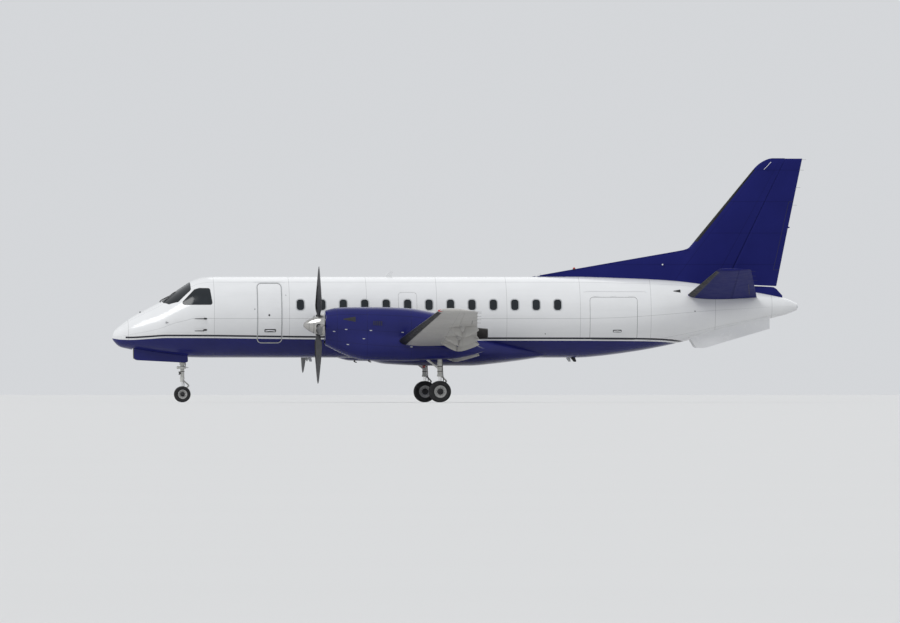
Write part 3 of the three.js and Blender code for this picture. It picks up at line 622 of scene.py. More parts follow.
def boxOutline(x0, x1, z0, z1, corner, steps=8):
    return roundedOutline([[x0, z0], [x1, z0], [x1, z1], [x0, z1]], corner, steps)


def windowOutline(number):
    x = glazing["firstWindow"] + glazing["windowPitch"] * number
    wide, tall = glazing["windowSize"]
    z = glazing["windowHeight"]
    return boxOutline(x - wide / 2, x + wide / 2, z - tall / 2, z + tall / 2, glazing["windowCorner"])


def bayCut(cutter, bay, centre=0.0):
    # an upright block with rounded corners, from below the body up to the roof of a wheel bay
    box = boxOutline(bay["from"], bay["to"], centre - bay["half"], centre + bay["half"], 0.03, 4)
    layers = [pointsOf(*box.T, height) for height in (-1.4, bay["roof"])]
    cutter.capped(np.array(layers), 1)


def cockpitPanes(side):
    # name, outline and placing rule of each pane on one side
    windscreen = np.array(glazing["windscreen"]) * [1, side]
    for label, corners, place in (("windscreen", windscreen, onDeck(1)),
                                  ("side_window", glazing["sideWindow"], onFlank(side))):
        yield label, roundedOutline(corners, glazing["corner"]), place


def hullSkin():
    # rings of ellipses, closest together where the body curves, cut for bay, doors and glass
    first, last = hull["straight"]
    front = np.linspace(0, math.sqrt(first), 74) ** 2
    rear = np.linspace(last, hull["rows"][-1][0], 72)
    station = np.concatenate([front, np.linspace(first, last, 42)[1:-1], rear])
    angle = turn * (np.arange(hull["around"]) + 0.5) / hull["around"] - math.pi
    shape = Shape().grid(hullGrid(station[:, None], angle[None]), caps=(False, True))
    skin = shape.build("fuselage_skin", "hull bay seal")
    cutter = Shape()
    bayCut(cutter, hull["bay"])
    proud = 0.03
    for side in sides.values():
        for _, edge, place in cockpitPanes(side):
            patch(cutter, grownOutline(edge, glazing["gap"]), place, -glazing["depth"], proud, 2, 16)
        for number in range(glazing["cabinWindows"]):
            patch(cutter, windowOutline(number), onFlank(side), -0.02, proud, 2, 4)
    for box in doors["boxes"].values():
        edge = grownOutline(boxOutline(*box), doors["gap"])
        patch(cutter, edge, onFlank(-1), -doors["depth"], proud, 2, 22)
    carve(skin, cutter.build("cutter"))
    skinPlace(skin, stationOf, hullArc, aboveNavy=aboveNavy)
    fit(skin, "airframe", "cabin_skin", "radome", "cockpit_section", "cabin_front",
        "cabin_centre", "cabin_rear", "rear_fuselage", "tail_cone")


def cockpitGlass():
    # panes set 3 mm below the skin in a dark seal
    for name, side in sides.items():
        for label, edge, place in cockpitPanes(side):
            pane = Shape()
            patch(pane, edge, place, -0.022, -0.003, 0, 14)
            seam(pane, grownOutline(edge, 0.001), place, glazing["gap"] - 0.002, -0.02, 0.001, 1)
            piece = pane.build(f"{label}_{name}_pane", "glass seal")
            fit(piece, "airframe", "window_glass", f"{label}_{name}")


def cabinGlass():
    # a pressed metal rim round each small pane
    for name, side in sides.items():
        shape = Shape()
        for number in range(glazing["cabinWindows"]):
            edge = windowOutline(number)
            patch(shape, grownOutline(edge, -0.014), onFlank(side), -0.019, -0.008, 0, 4)
            seam(shape, grownOutline(edge, -0.016), onFlank(side), 0.028, -0.018, 0.003, 1)
        fit(shape.build(f"cabin_windows_{name}", "glass rim"), "airframe", "window_glass")


def doorPanels():
    # each door is a plate of skin in its own opening with a seal round it, and the passenger door
    # has a raised metal frame as well
    for name, box in doors["boxes"].items():
        edge, place = boxOutline(*box), onFlank(-1)
        panel = Shape()
        patch(panel, grownOutline(edge, -0.001), place, -0.027, 0.0, 0, 22)
        seam(panel, edge, place, doors["gap"] - 0.001, -0.026, -0.002, 1)
        if name == "passenger":
            seam(panel, grownOutline(edge, 0.009), place, 0.02, -0.002, 0.003, 2)
        piece = panel.build(f"{name}_door_panel", "hull seal rim")
        skinPlace(piece, stationOf, hullArc, aboveNavy=aboveNavy)
        fit(piece, "airframe", "cabin_skin", f"{name}_door")


def at(place, *spots):
    # the points of a placing rule at spots u, v, w
    return [place(*(np.array([value], float) for value in spot))[0] for spot in spots]


def ovalOutline(x, z, wide, tall, count):
    angle = turn * np.arange(count) / count
    return np.stack([x + wide * np.cos(angle), z + tall * np.sin(angle)], 1)


def dome(shape, spot, axis, radius, height, finish, foot=1):
    # a lens on a low round base
    angle = np.linspace(math.pi / 2, 0, 9)
    profile = [[radius * math.sin(a), 0.014 + height * math.cos(a)] for a in angle]
    profile[-1][0] = 0
    base = [[0, -0.02], [radius * 1.2, -0.02], [radius * 1.2, 0.01], [radius * 1.1, 0.014], [0, 0.014]]
    shape.lathe(base, spot, axis, 28, foot)
    return shape.lathe([[0, 0.008], [radius, 0.008], *profile], spot, axis, 28, finish)


fittings = {
    # station and height of the probes and of the vane; the ports and holes also have a radius
    "pitots": [(2.6, -0.05), (2.6, -0.37)], "vane": (1.5, -0.16),
    "ports": [(4.01, 0.22, 0.02), (16.6, 0.166, 0.024), (12.3, -0.48, 0.02), (4.9, 0.62, 0.016)],
    # station from and to, height from and to, corner
    "exit": (8.11, 8.63, -0.2, 0.7, 0.1), "service": (4.1, 4.72, -0.45, 0.8, 0.1),
    "scoop": [[15.92, 0.74], [16.2, 0.69], [16.2, 0.79]],
    # station, y to the side and distance off the skin, from the pivot to the tip
    "wiperArm": [(1.36, 0.15, 0.005), (1.4, 0.16, 0.03), (1.62, 0.27, 0.022)],
    "wiperBlade": [(1.46, 0.33, 0.01), (1.62, 0.27, 0.012), (1.8, 0.2, 0.01)],
    "gutters": [(4.0, 4.87, 1.0), (13.4, 15.2, 0.73)],
    # door handles and a lock: station, height, half width and half height of the recess
    "handles": [(4.45, -0.39, 0.17, 0.05), (14.36, -0.4, 0.13, 0.042), (4.42, 0.05, 0.03, 0.035)],
    "hinges": (13.75, 14.25, 14.75),
    # blade antennas: station, foot height, length, rise, finish
    "antennas": [(7.74, 1.145, 0.28, 0.17, 0), (12.05, 1.145, 0.2, 0.12, 0),
                 (13.05, -1.145, 0.22, -0.13, 1)],
    "drains": [(5.55, -1.15), (12.95, -1.15)],
    # beacons and tail lamp: place, direction, radius, height, finish
    "lamps": [((13.2, 0, 1.368), (0, 0, 1), 0.036, 0.045, 2),
              ((8.9, 0, -1.38), (0, 0, -1), 0.05, 0.06, 2),
              ((19.565, 0, 0.3), (1, 0, 0), 0.045, 0.04, 3)],
    "kinds": "white dark redLens lens seal rim",
}


def flankFittings(shape, side):
    # pitot heads on oval feet, the angle vane, ports, overwing exit and air scoop of one flank
    white, dark, seal, rim = 0, 1, 4, 5
    place = onFlank(side)
    for x, z in fittings["pitots"]:
        patch(shape, ovalOutline(x, z, 0.055, 0.026, 24), place, -0.01, 0.004, dark, 3)
        mast = at(place, (x, z, -0.01), (x - 0.03, z, 0.05), (x - 0.08, z, 0.09))
        shape.tube(mast, np.linspace(0.017, 0.011, 9), dark, 12, 4)
        head = at(place, (x - 0.03, z, 0.09))[0]
        path = [head - [length, 0, 0] for length in (0, 0.13, 0.25, 0.27)]
        shape.tube(path, [0.014, 0.013, 0.01, 0.005], dark, 12, 1)
    x, z = fittings["vane"]
    patch(shape, ovalOutline(x, z, 0.035, 0.035, 20), place, -0.01, 0.004, rim, 3)
    shape.tube(at(place, (x, z, 0), (x + 0.01, z, 0.035), (x + 0.07, z, 0.05)), 0.006, dark, 8, 3)
    for x, z, radius in fittings["ports"]:
        # each port is a pressed rim round a dark middle, painted shade standing for the opening
        for size, high, finish in ((radius, 0.0015, rim), (radius * 0.55, 0.0025, dark)):
            patch(shape, ovalOutline(x, z, size, size, 20), place, -0.01, high, finish, 3)
    seam(shape, boxOutline(*fittings["exit"]), place, 0.005, -0.004, 0.0008, seal)
    scoop = roundedOutline(fittings["scoop"], 0.012, 4)
    # the scoop's mouth is a flat dark patch, painted shade standing for its hollow, in a white lip
    patch(shape, scoop, place, -0.01, 0.0015, dark, 5)
    bead(shape, scoop, place, 0.005, 0.001, white, 6)
    for key, radius, finish, smooth in (("wiperArm", 0.009, dark, 6), ("wiperBlade", 0.008, seal, 8)):
        path = at(onDeck(1), *((x, side * y, w) for x, y, w in fittings[key]))
        shape.tube(path, radius, finish, 8, smooth)


def doorFittings(shape):
    # rain gutters over the doors, handles whose recesses are painted shade, the hinges of the cargo door
    white, dark, rim = 0, 1, 5
    place = onFlank(-1)
    for start, end, z in fittings["gutters"]:
        path = [[start, z - 0.02], [start + 0.05, z], [end - 0.05, z], [end, z - 0.02]]
        trail(shape, path, place, 0.014, -0.004, 0.009, white)
    for x, z, wide, tall in fittings["handles"]:
        slot = boxOutline(x - wide, x + wide, z - tall, z + tall, 0.028)
        patch(shape, slot, place, -0.01, 0.0012, rim, 5)
        # a dark plate inside the rim is painted shade standing for the hollow of the recess
        patch(shape, grownOutline(slot, -0.008), place, -0.01, 0.002, dark, 5)
        if wide > 0.05:
            reach = wide * 0.8
            grip = ((x - reach, z - 0.01, 0.004), (x, z + 0.008, 0.022), (x + reach, z - 0.01, 0.008))
            shape.tube(at(place, *grip), 0.014, white, 12, 6)
    for x in fittings["hinges"]:
        patch(shape, boxOutline(x - 0.07, x + 0.07, 0.585, 0.635, 0.012, 4), place, -0.006, 0.007, white, 3)


def fuselageFittings():
    dark, seal, rim = 1, 4, 5
    shape = Shape()
    for side in (-1, 1):
        flankFittings(shape, side)
    seam(shape, boxOutline(*fittings["service"]), onFlank(1), 0.006, -0.004, 0.0008, seal)
    doorFittings(shape)
    for x, foot, length, rise, finish in fittings["antennas"]:
        root, tip = foot - 0.03 * np.sign(rise), foot + rise
        outline = roundedOutline([[x, root], [x + length * 0.75, root], [x + length, tip],
                                  [x + length * 0.62, tip]], [0.005, 0.005, 0.02, 0.03], 5)
        shape.plate(outline, sidePlace(), -0.007, 0.007, finish, 0.005)
    for x, z in fittings["drains"]:
        corners = [[x, z + 0.03], [x + 0.14, z + 0.03], [x + 0.17, z - 0.12], [x + 0.1, z - 0.12]]
        outline = roundedOutline(corners, [0.005, 0.005, 0.012, 0.012], 4)
        shape.plate(outline, sidePlace(1, 0.22), -0.009, 0.009, rim, 0.006)
    for spot, axis, radius, height, finish in fittings["lamps"]:
        dome(shape, spot, axis, radius, height, finish)
    dome(shape, at(onDeck(1), (0.8, 0, -0.004))[0], [-0.4, 0, 1], 0.022, 0.02, dark, dark)
    fit(shape.build("fuselage_fittings", fittings["kinds"]), "airframe", "cabin_skin")


# Wings and tailplane

wing = {
    "rootLeading": 7.56, "rootTrailing": 10.4, "rootThickness": 0.454,
    "tipLeading": 8.66, "tipTrailing": 9.72, "tipThickness": 0.127, "tipReach": 10.714,
    "rootHeight": -1.161, "dihedral": math.radians(7), "incidence": math.radians(1.5), "camber": 0.02,
    "start": 0.5, "boot": 0.085, "bootFrom": 4.1,
}
tailplane = {
    "rootLeading": 16.308, "rootTrailing": 18.44, "rootThickness": 0.235,
    "tipLeading": 16.97, "tipTrailing": 17.89, "tipThickness": 0.083, "tipReach": 4.622,
    "rootHeight": 0.51, "dihedral": math.radians(10.2), "incidence": 0.0, "camber": 0.0,
    "start": 0.18, "boot": 0.09, "bootFrom": 0.75,
}
controls = {  # from, to, and the share of the chord of the hinge or nose
    "aileron": (7.73, 10.48, 0.69), "flap_inner": (1.3, 2.79, 0.72), "flap_outer": (3.92, 7.65, 0.72),
    "elevator": (0.58, 4.48, 0.66), "swingGap": 0.01, "endGap": 0.018,
}
flapPivot = {"share": 0.755, "rise": -0.29, "arms": (2.05, 4.45, 5.6, 7.56)}


def chordAt(surface, reach):
    # leading edge station, chord and thickness, each straight from root to tip
    share = reach / surface["tipReach"]
    leading, trailing, thick = (surface["root" + key] + share * (surface["tip" + key] - surface["root" + key])
                                for key in ("Leading", "Trailing", "Thickness"))
    return leading, trailing - leading, thick / (trailing - leading)


def halfThickness(share, thickness):
    # the classic four-digit half thickness, with a 2 mm per metre blunt trailing edge
    share = np.maximum(share, 0)
    form = (0.2969 * np.sqrt(share) - 0.126 * share - 0.3516 * share ** 2
            + 0.2843 * share ** 3 - 0.1036 * share ** 4)
    return 5 * thickness * form + 0.002 * share


def meanLine(share, camber):
    # the classic four-digit mean line, highest at 0.4 of the chord
    front = camber * (0.8 * share - share ** 2) / 0.16
    return np.where(share < 0.4, front, camber * (0.2 + 0.8 * share - share ** 2) / 0.36)


def surfacePoint(surface, side, reach, share, rise):
    # share of the chord and height off it, turned by the incidence and the dihedral
    leading, length, _ = chordAt(surface, reach)
    height = rise - share * length * math.tan(surface["incidence"])
    y = side * (reach - height * math.sin(surface["dihedral"]))
    z = (surface["rootHeight"] + reach * math.tan(surface["dihedral"])
         + height * math.cos(surface["dihedral"]))
    return pointsOf(leading + share * length, y, z)


def skinRise(surface, reach, share, face):
    _, length, thickness = chordAt(surface, reach)
    return length * (meanLine(share, surface["camber"]) + face * halfThickness(share, thickness))


def noseCircle(surface, reach, share):
    # height of the section's middle and half its depth, 1 mm inside the skin
    top, bottom = (skinRise(surface, reach, share, face) for face in (1, -1))
    return (top + bottom) / 2, (top - bottom) / 2 - 0.001


def cutShare(surface, reach, share):
    # where the fixed part ends in front of a hinged one
    _, length, _ = chordAt(surface, reach)
    return share - (noseCircle(surface, reach, share)[1] + controls["swingGap"]) / length


def wrapped(skin, nose):
    # a section ring: the upper skin forward to the nose, the nose, and the lower skin aft
    return np.concatenate([skin(1)[:, ::-1], nose, skin(-1)], 1)


def fixedSurface(shape, surface, side, zones):
    # rings of the section; over each zone the skin stops at the rear wall, and the two rings at
    # each end of a zone stand on the same reach, so that the step between them is a flat rib; the
    # last rings close in to a rounded tip
    tip, gap = surface["tipReach"], controls["endGap"]
    reaches, shares, full = [], [], []

    def rings(start, end, count, share, whole):
        reaches.extend(np.linspace(start, end, count))
        shares.extend([share] * count)
        full.extend([whole] * count)

    edge = surface["start"]
    for start, end, hinge in zones:
        rings(edge, start - gap, 4, hinge, True)
        rings(start - gap, end + gap, 14, hinge, False)
        edge = end + gap
    rings(edge, tip - 0.16, 3, hinge, True)
    rings(tip - 0.15, tip, 10, hinge, True)
    reach, shares, whole = (np.array(values)[:, None] for values in (reaches, shares, full))
    squeeze = smoothCurve(reach - tip, [-0.16, -0.06, 0], [1, 0.8, 0.25])
    inset = smoothCurve(reach - tip, [-0.16, -0.06, 0], [0, 0.015, 0.06])
    wall = cutShare(surface, reach, shares)
    _, length, _ = chordAt(surface, reach)
    lip = (0.4 * noseCircle(surface, reach, shares)[1] + controls["swingGap"]) / length
    fore = eased(26, 0.9)[1:] ** 1.35
    aft = np.where(whole, (1 - wall) * np.linspace(0, 1, 9)[1:], lip * [0.3, 0.7, 1, 1, 0.5, 0, 0, 0])
    thin = np.where(whole, 0, [0, 0, 0, 0.003, 0.003, 0.003, 0.003, 0.003])
    thin = np.concatenate([0 * wall * fore, thin * np.ones_like(wall)], 1)
    line = np.concatenate([wall * fore, wall + aft], 1)

    def skin(face):
        rise = (skinRise(surface, reach, line, face) - face * thin) * squeeze
        return surfacePoint(surface, side, reach, inset + line * (1 - 2 * inset), rise)

    return shape.capped(wrapped(skin, surfacePoint(surface, side, reach, inset, 0)))


def boot(shape, surface, side, start, end):
    # a thin rubber sleeve round the leading edge, 2 mm proud, feathered at its rear edges
    reach = np.linspace(start, end, 30)[:, None]
    line = (eased(15, 1) ** 1.5)[1:] * surface["boot"]
    feather = np.concatenate([np.ones(len(line) - 1), [0.15]]) * 0.0025
    nose = surfacePoint(surface, side, reach, 0 * reach, 0 * reach)

    def layer(off, forward):
        return wrapped(lambda face: surfacePoint(surface, side, reach, line,
                                                 skinRise(surface, reach, line, face) + face * off),
                       nose - [forward, 0, 0])

    return shape.slab(layer(feather, 0.0025), layer(-0.002, -0.003), 1)


def hingedSurface(shape, surface, side, start, end, hinge):
    # a round nose about the hinge line, then the section's own skin back to the trailing edge
    reach = np.linspace(start, end, 14)[:, None]
    _, length, _ = chordAt(surface, reach)
    rise, radius = noseCircle(surface, reach, hinge)
    line = hinge + (1 - hinge) * np.linspace(0.03, 1, 13)
    angle = np.radians(np.linspace(90, 270, 19))
    nose = surfacePoint(surface, side, reach, hinge + radius * np.cos(angle) / length,
                        rise + radius * np.sin(angle))

    def skin(face):
        return surfacePoint(surface, side, reach, line, skinRise(surface, reach, line, face) - 0.001 * face)

    return shape.capped(wrapped(skin, nose))


brackets = {  # shares of the chord aft of the flap pivot and heights above it, with corner radii
    "fixed": ([[-0.255, 0.225], [-0.17, 0.09], [-0.02, -0.04], [0.015, -0.04], [0.015, 0.04], [-0.1, 0.225]],
              [0.01, 0.08, 0.03, 0.03, 0.01, 0.01]),
    "arm": ([[-0.02, -0.04], [0.03, -0.04], [0.265, 0.14], [0.265, 0.195], [0.2, 0.285], [0.03, 0.285],
             [-0.02, 0.04]], [0.03, 0.03, 0.08, 0.04, 0.06, 0.02, 0.02]),
    "step": 0.03, "half": 0.011, "chord": 2.2,
}


def bracket(shape, side, reach, kind):
    # a plate at one reach of the wing; u is the share of the chord and v the height off it
    corners, radii = brackets[kind]
    outline = roundedOutline(np.array(corners) * [brackets["chord"], 1], radii, 5) / [brackets["chord"], 1]
    outline = outline + [flapPivot["share"], flapPivot["rise"]]
    shape.plate(outline, lambda u, v, w: surfacePoint(wing, side, reach + w, u, v),
                -brackets["half"], brackets["half"])


fairings = {  # share of the chord, top, bottom, half width
    "fixed": [[0.49, -0.055, -0.062, 0.003], [0.53, -0.055, -0.135, 0.018], [0.585, -0.06, -0.205, 0.03],
              [0.655, -0.065, -0.28, 0.036], [0.7, -0.138, -0.318, 0.036], [0.72, -0.17, -0.33, 0.034]],
    "moving": [[0.79, -0.06, -0.33, 0.034], [0.84, -0.03, -0.3, 0.036], [0.91, -0.01, -0.245, 0.03],
               [0.98, -0.006, -0.185, 0.02], [1.03, -0.1, -0.135, 0.006]],
}


rootFillet = {
    # reach, share of the chord ahead of the leading edge, share of the thickness, bluntness
    "rows": [[0.35, 0.2, 0.2, 4], [0.6, 0.27, 0.62, 4], [0.9, 0.292, 0.93, 4], [1.15, 0.282, 1, 4],
             [1.4, 0.22, 1, 4], [1.65, 0.136, 1, 3.6], [1.9, 0.038, 1, 2.4], [2.05, -0.004, 1, 2]],
    "join": 0.3, "cover": (1.06, 1.66, 0.1), "lamp": (1.27, 0.07), "navyTo": 2.9,
}


def filletPoint(side, reach, part, face, off=0.0):
    # blunt half ovals that meet the wing's own skin where it is thickest; part is 0 at the nose
    rows = np.array(rootFillet["rows"]).T
    ahead, share, blunt = (smoothCurve(reach, rows[0], column) for column in rows[1:])
    join = rootFillet["join"]
    line = (join + ahead) * part - ahead
    _, length, thickness = chordAt(wing, reach)
    half = halfThickness(join, thickness) * share * np.sqrt(1 - (1 - part) ** blunt)
    rise = length * (meanLine(np.maximum(line, 0), wing["camber"]) + face * half)
    return surfacePoint(wing, side, reach, line, rise + face * (off - 0.003 * part ** 6))


def wingRoot(shape, side, lens, glass, navy):
    # the fillet ahead of the root, a dark cover round its nose and a landing lamp in the cover
    def rings(start, end, count, part, off=0.0, forward=0.0):
        reach = np.linspace(start, end, count)[:, None]
        return wrapped(lambda face: filletPoint(side, reach, part, face, off),
                       filletPoint(side, reach, 0.0, 1) + [forward, 0, 0])

    rows = rootFillet["rows"]
    ring = rings(rows[0][0], rows[-1][0], 36, np.linspace(0, 1, 22)[None, 1:] ** 2)
    shape.capped(ring, np.where(np.arange(ring.shape[1]) < 18, 0, navy))
    start, end, depth = rootFillet["cover"]
    part = depth * np.linspace(0, 1, 9)[None, 1:] ** 2
    layers = [rings(start, end, 20, part, *offs) for offs in ((0.0025, -0.0025), (-0.002, 0.003))]
    shape.slab(*layers, glass)
    reach, radius = rootFillet["lamp"]
    spot = filletPoint(side, np.array([reach]), 0.0, 1)[0] + [0.022, -side * 0.012, 0]
    dome(shape, spot, [-1, side * 0.6, 0], radius, 0.026, lens, lens)


def paintUnder(piece, reach, slot):
    # faces inboard of a reach that look down take another finish
    faces = piece.data.polygons
    normal, middle = np.empty((2, len(faces) * 3), np.float32)
    kind = np.empty(len(faces), np.int32)
    faces.foreach_get("normal", normal)
    faces.foreach_get("center", middle)
    faces.foreach_get("material_index", kind)
    kind[(normal[2::3] < -0.2) & (np.abs(middle[1::3]) < reach) & (kind == 0)] = slot
    faces.foreach_set("material_index", kind)


def canoe(shape, side, reach, rows):
    # a keel-shaped fairing under the wing: a flat top inside the skin and a round belly
    table = np.array(rows).T
    share = np.linspace(table[0, 0], table[0, -1], 22)
    top, bottom, half = (smoothCurve(share, table[0], column)[:, None] for column in table[1:])
    angle = np.linspace(0, math.pi, 17)[None]
    across, down = np.cos(angle), np.sin(angle)
    across = np.sign(across) * np.abs(across) ** 0.7
    rise = top + (bottom - top) * down ** 0.7
    points = surfacePoint(wing, side, reach + half * across, share[:, None], rise)
    return shape.capped(points)


def reachOf(x, y, z):
    return np.abs(y)


def fitSurface(shape, surface, name, kinds, body, slot, node, navyFinish=None):
    # builds a piece of a wing and measures its skin: the share of the chord in metres of its mean,
    # and the reach
    piece = shape.build(name, kinds)
    if navyFinish:
        paintUnder(piece, rootFillet["navyTo"], navyFinish)
    slope = (surface["tipLeading"] - surface["rootLeading"]) / surface["tipReach"]
    mean = chordAt(surface, surface["tipReach"] / 2)[1]

    def along(x, y, z):
        reach = np.abs(y)
        return mean * (x - surface["rootLeading"] - slope * reach) / chordAt(surface, reach)[1]

    skinPlace(piece, along, reachOf)
    fit(piece, body, slot, node)


wingTrim = {
    # lamps at the tip: step in from the tip, share of the chord, radius, half length, lean, sides
    "tipLamp": (0.085, 0.058, 0.036, 0.11, 0.35, 24), "tailLamp": (0.1, 0.955, 0.014, 0.06, 0.0, 16),
    "boots": ((1.95, 2.84), (3.845, wing["tipReach"] - 0.25)), "fairingStep": 0.012,
    "wicks": (10.56,), "aileronTab": (8.0, 8.75), "aileronWicks": (8.2, 8.9, 9.6, 10.3),
    "elevatorTab": (0.9, 2.4), "elevatorWicks": (2.9, 3.6, 4.3),
}


def wings():
    zones = [controls[key] for key in ("flap_inner", "flap_outer", "aileron")]
    inner, outer = flapPivot["arms"][:1], flapPivot["arms"][1:]
    angle = np.linspace(0, math.pi, 15)
    for name, side in sides.items():
        shape = Shape()
        fixedSurface(shape, wing, side, zones)
        for start, end in wingTrim["boots"]:
            boot(shape, wing, side, start, end)
        wingRoot(shape, side, 2, 6, 7)
        for key, finish in (("tipLamp", 3 if side < 0 else 4), ("tailLamp", 2)):
            inset, share, radius, half, lean, count = wingTrim[key]
            spot = surfacePoint(wing, side, wing["tipReach"] - inset, share, 0.0)
            profile = np.stack([radius * np.sin(angle), -half * np.cos(angle)], 1)
            shape.lathe(profile, spot, [1, side * lean, 0], count, finish)
        wicks(shape, wing, side, wingTrim["wicks"], 5)
        for reach in flapPivot["arms"]:
            bracket(shape, side, reach - brackets["step"], "fixed")
            canoe(shape, side, reach - wingTrim["fairingStep"], fairings["fixed"])
        fitSurface(shape, wing, f"wing_{name}_skin", "wing boot lens redLens greenLens dark glass navy",
                   "airframe", "wing_skin", f"wing_{name}", 7)
        for label, arms in (("inner", inner), ("outer", outer)):
            panel = Shape()
            hingedSurface(panel, wing, side, *controls[f"flap_{label}"])
            for reach in arms:
                bracket(panel, side, reach, "arm")
                canoe(panel, side, reach - wingTrim["fairingStep"], fairings["moving"])
            fitSurface(panel, wing, f"flap_{label}_{name}_skin", "wing navy", f"flap_{name}",
                       "control_skin", f"flap_{label}_{name}", 1)
        panel = Shape()
        hingedSurface(panel, wing, side, *controls["aileron"])
        tab(panel, wing, side, *wingTrim["aileronTab"], 1)
        wicks(panel, wing, side, wingTrim["aileronWicks"], 2)
        fitSurface(panel, wing, f"aileron_{name}_skin", "wing seal dark", f"aileron_{name}",
                   "control_skin", f"aileron_{name}")


def tab(shape, surface, side, start, end, finish):
    # a trim tab shows as a thin dark line round three of its sides, on both faces
    share = 0.9
    path = [[1.0, start], [share, start], [share, end], [1.0, end]]
    for face in (1, -1):
        def place(u, v, w):
            rise = skinRise(surface, v, np.minimum(u, 0.995), face) - face * 0.001 + face * w
            return surfacePoint(surface, side, v, u, rise)
        trail(shape, path, place, 0.01, -0.0015, 0.0008, finish, 30)


def wicks(shape, surface, side, reaches, finish):
    # static wicks on the trailing edge
    for reach in reaches:
        start = surfacePoint(surface, side, reach, 0.985, 0.0)
        shape.rod(start, start + [0.13, 0, -0.004], 0.0028, finish, 8)
        shape.rod(start, start + [0.035, 0, 0], 0.006, finish, 8)


def tailplanes():
    for name, side in sides.items():
        shape = Shape()
        fixedSurface(shape, tailplane, side, [controls["elevator"]])
        boot(shape, tailplane, side, tailplane["bootFrom"], tailplane["tipReach"] - 0.25)
        fitSurface(shape, tailplane, f"tailplane_{name}_skin", "tail boot", "airframe", "navy_skin",
                   f"tailplane_{name}")
        panel = Shape()
        hingedSurface(panel, tailplane, side, *controls["elevator"])
        tab(panel, tailplane, side, *wingTrim["elevatorTab"], 1)
        wicks(panel, tailplane, side, wingTrim["elevatorWicks"], 1)
        fitSurface(panel, tailplane, f"elevator_{name}_skin", "tail dark", f"elevator_{name}",
                   "navy_skin", f"elevator_{name}")


# Fin and rudder

fin = {
    "base": 0.8, "shoulder": 4.245, "top": 4.54, "thickness": 0.1, "rudderGap": 0.012,
    "leading": ((16.51, 2.01), (18.35, 4.245)), "trailing": ((18.97, 0.87), (19.73, 4.53)),
    "hinge": ((17.558, 0.9), (19.27, 4.54)), "rudderBottom": 0.95, "footFall": 0.045,
    # dorsal fillet: station, ridge height, half width at the foot
    "dorsal": [[11.9, 1.14, 0.006], [12.9, 1.318, 0.05], [14.6, 1.616, 0.1], [16.1, 1.876, 0.125],
               [16.7, 1.98, 0.135]],
    "dorsalFoot": 1.08, "blend": 0.09,
    # fairing under the rudder: station, top height, half width
    "foot": [[17.3, 0.935, 0.095], [17.56, 0.928, 0.095], [17.85, 0.906, 0.086], [18.9, 0.86, 0.05],
             [19.16, 0.62, 0.02]],
    # rods on the fin, mirrored: start, end, radius, finish, sides
    "rods": [((18.6, 0.03, 4.18), (18.82, 0.25, 4.43), 0.008, 2, 8),
             ((15.72, 0.13, 1.5), (15.72, 0.075, 1.5), 0.022, 3, 24)],
    "tab": (1.35, 3.3), "lampHeight": 2.56, "wicks": (3.2, 3.7, 4.2, 4.5), "meanChord": 2.1,
}


def lineAt(ends, height):
    (x0, z0), (x1, z1) = ends
    return x0 + (height - z0) / (z1 - z0) * (x1 - x0)


def finSection(height):
    leading = lineAt(fin["leading"], height)
    length = lineAt(fin["trailing"], height) - leading
    hinge = lineAt(fin["hinge"], height)
    share = (hinge - leading) / length
    radius = length * halfThickness(share, fin["thickness"]) - 0.001
    (x0, z0), (x1, z1) = fin["hinge"]
    return leading, length, share, radius, radius / math.cos(math.atan2(x1 - x0, z1 - z0)), hinge


def tipShare(height):
    # 0 up to the shoulder, 1 at the flat top
    return np.clip((height - fin["shoulder"]) / (fin["top"] - fin["shoulder"]), 0, 1)


def tipThinning(height):
    return 1 - 0.6 * tipShare(height) ** 2


def finRing(height, s):
    # station and half width at shares s of the way from the leading edge to the wall in front of
    # the rudder; low down the edge runs out along the dorsal ridge, and a soft minimum of the two
    # lines rounds their corner
    ridge = np.array(fin["dorsal"]).T
    leading, length, _, _, noseReach, hinge = finSection(height)
    ridgeSlope = (ridge[0, -1] - ridge[0, -2]) / (ridge[1, -1] - ridge[1, -2])
    along = np.interp(height, ridge[1], ridge[0]) + np.maximum(height - ridge[1, -1], 0) * ridgeSlope
    blend = fin["blend"]
    front = -blend * np.logaddexp(-along / blend, -leading / blend)
    front = np.where(height < ridge[1, 0], ridge[0, 0] + 0.02, front)
    front = front + 0.3 * (1 - np.sqrt(1 - 0.985 * tipShare(height) ** 2))
    rear = hinge - noseReach - fin["rudderGap"]
    x = front + s * (rear - front)
    inFin = np.clip((x - leading) / length, 0, 1)
    half = length * halfThickness(inFin, fin["thickness"]) * (x > leading)
    depth = np.interp(x, ridge[0], ridge[1]) - height
    tall = np.maximum(np.interp(x, ridge[0], ridge[1]) - fin["dorsalFoot"], 0.03)
    fillet = np.interp(x, ridge[0], ridge[2]) * np.sqrt(np.clip(depth / tall, 0, 1))
    fillet = np.minimum(np.maximum(fillet, 0), np.maximum(0.35 * (x - front), 0))
    edge = np.sqrt(np.maximum((x - front) * 0.05, 0))
    half = np.maximum(np.maximum(half, fillet), np.minimum(edge, 0.03) * (height > 1.2))
    return x, half * tipThinning(height)


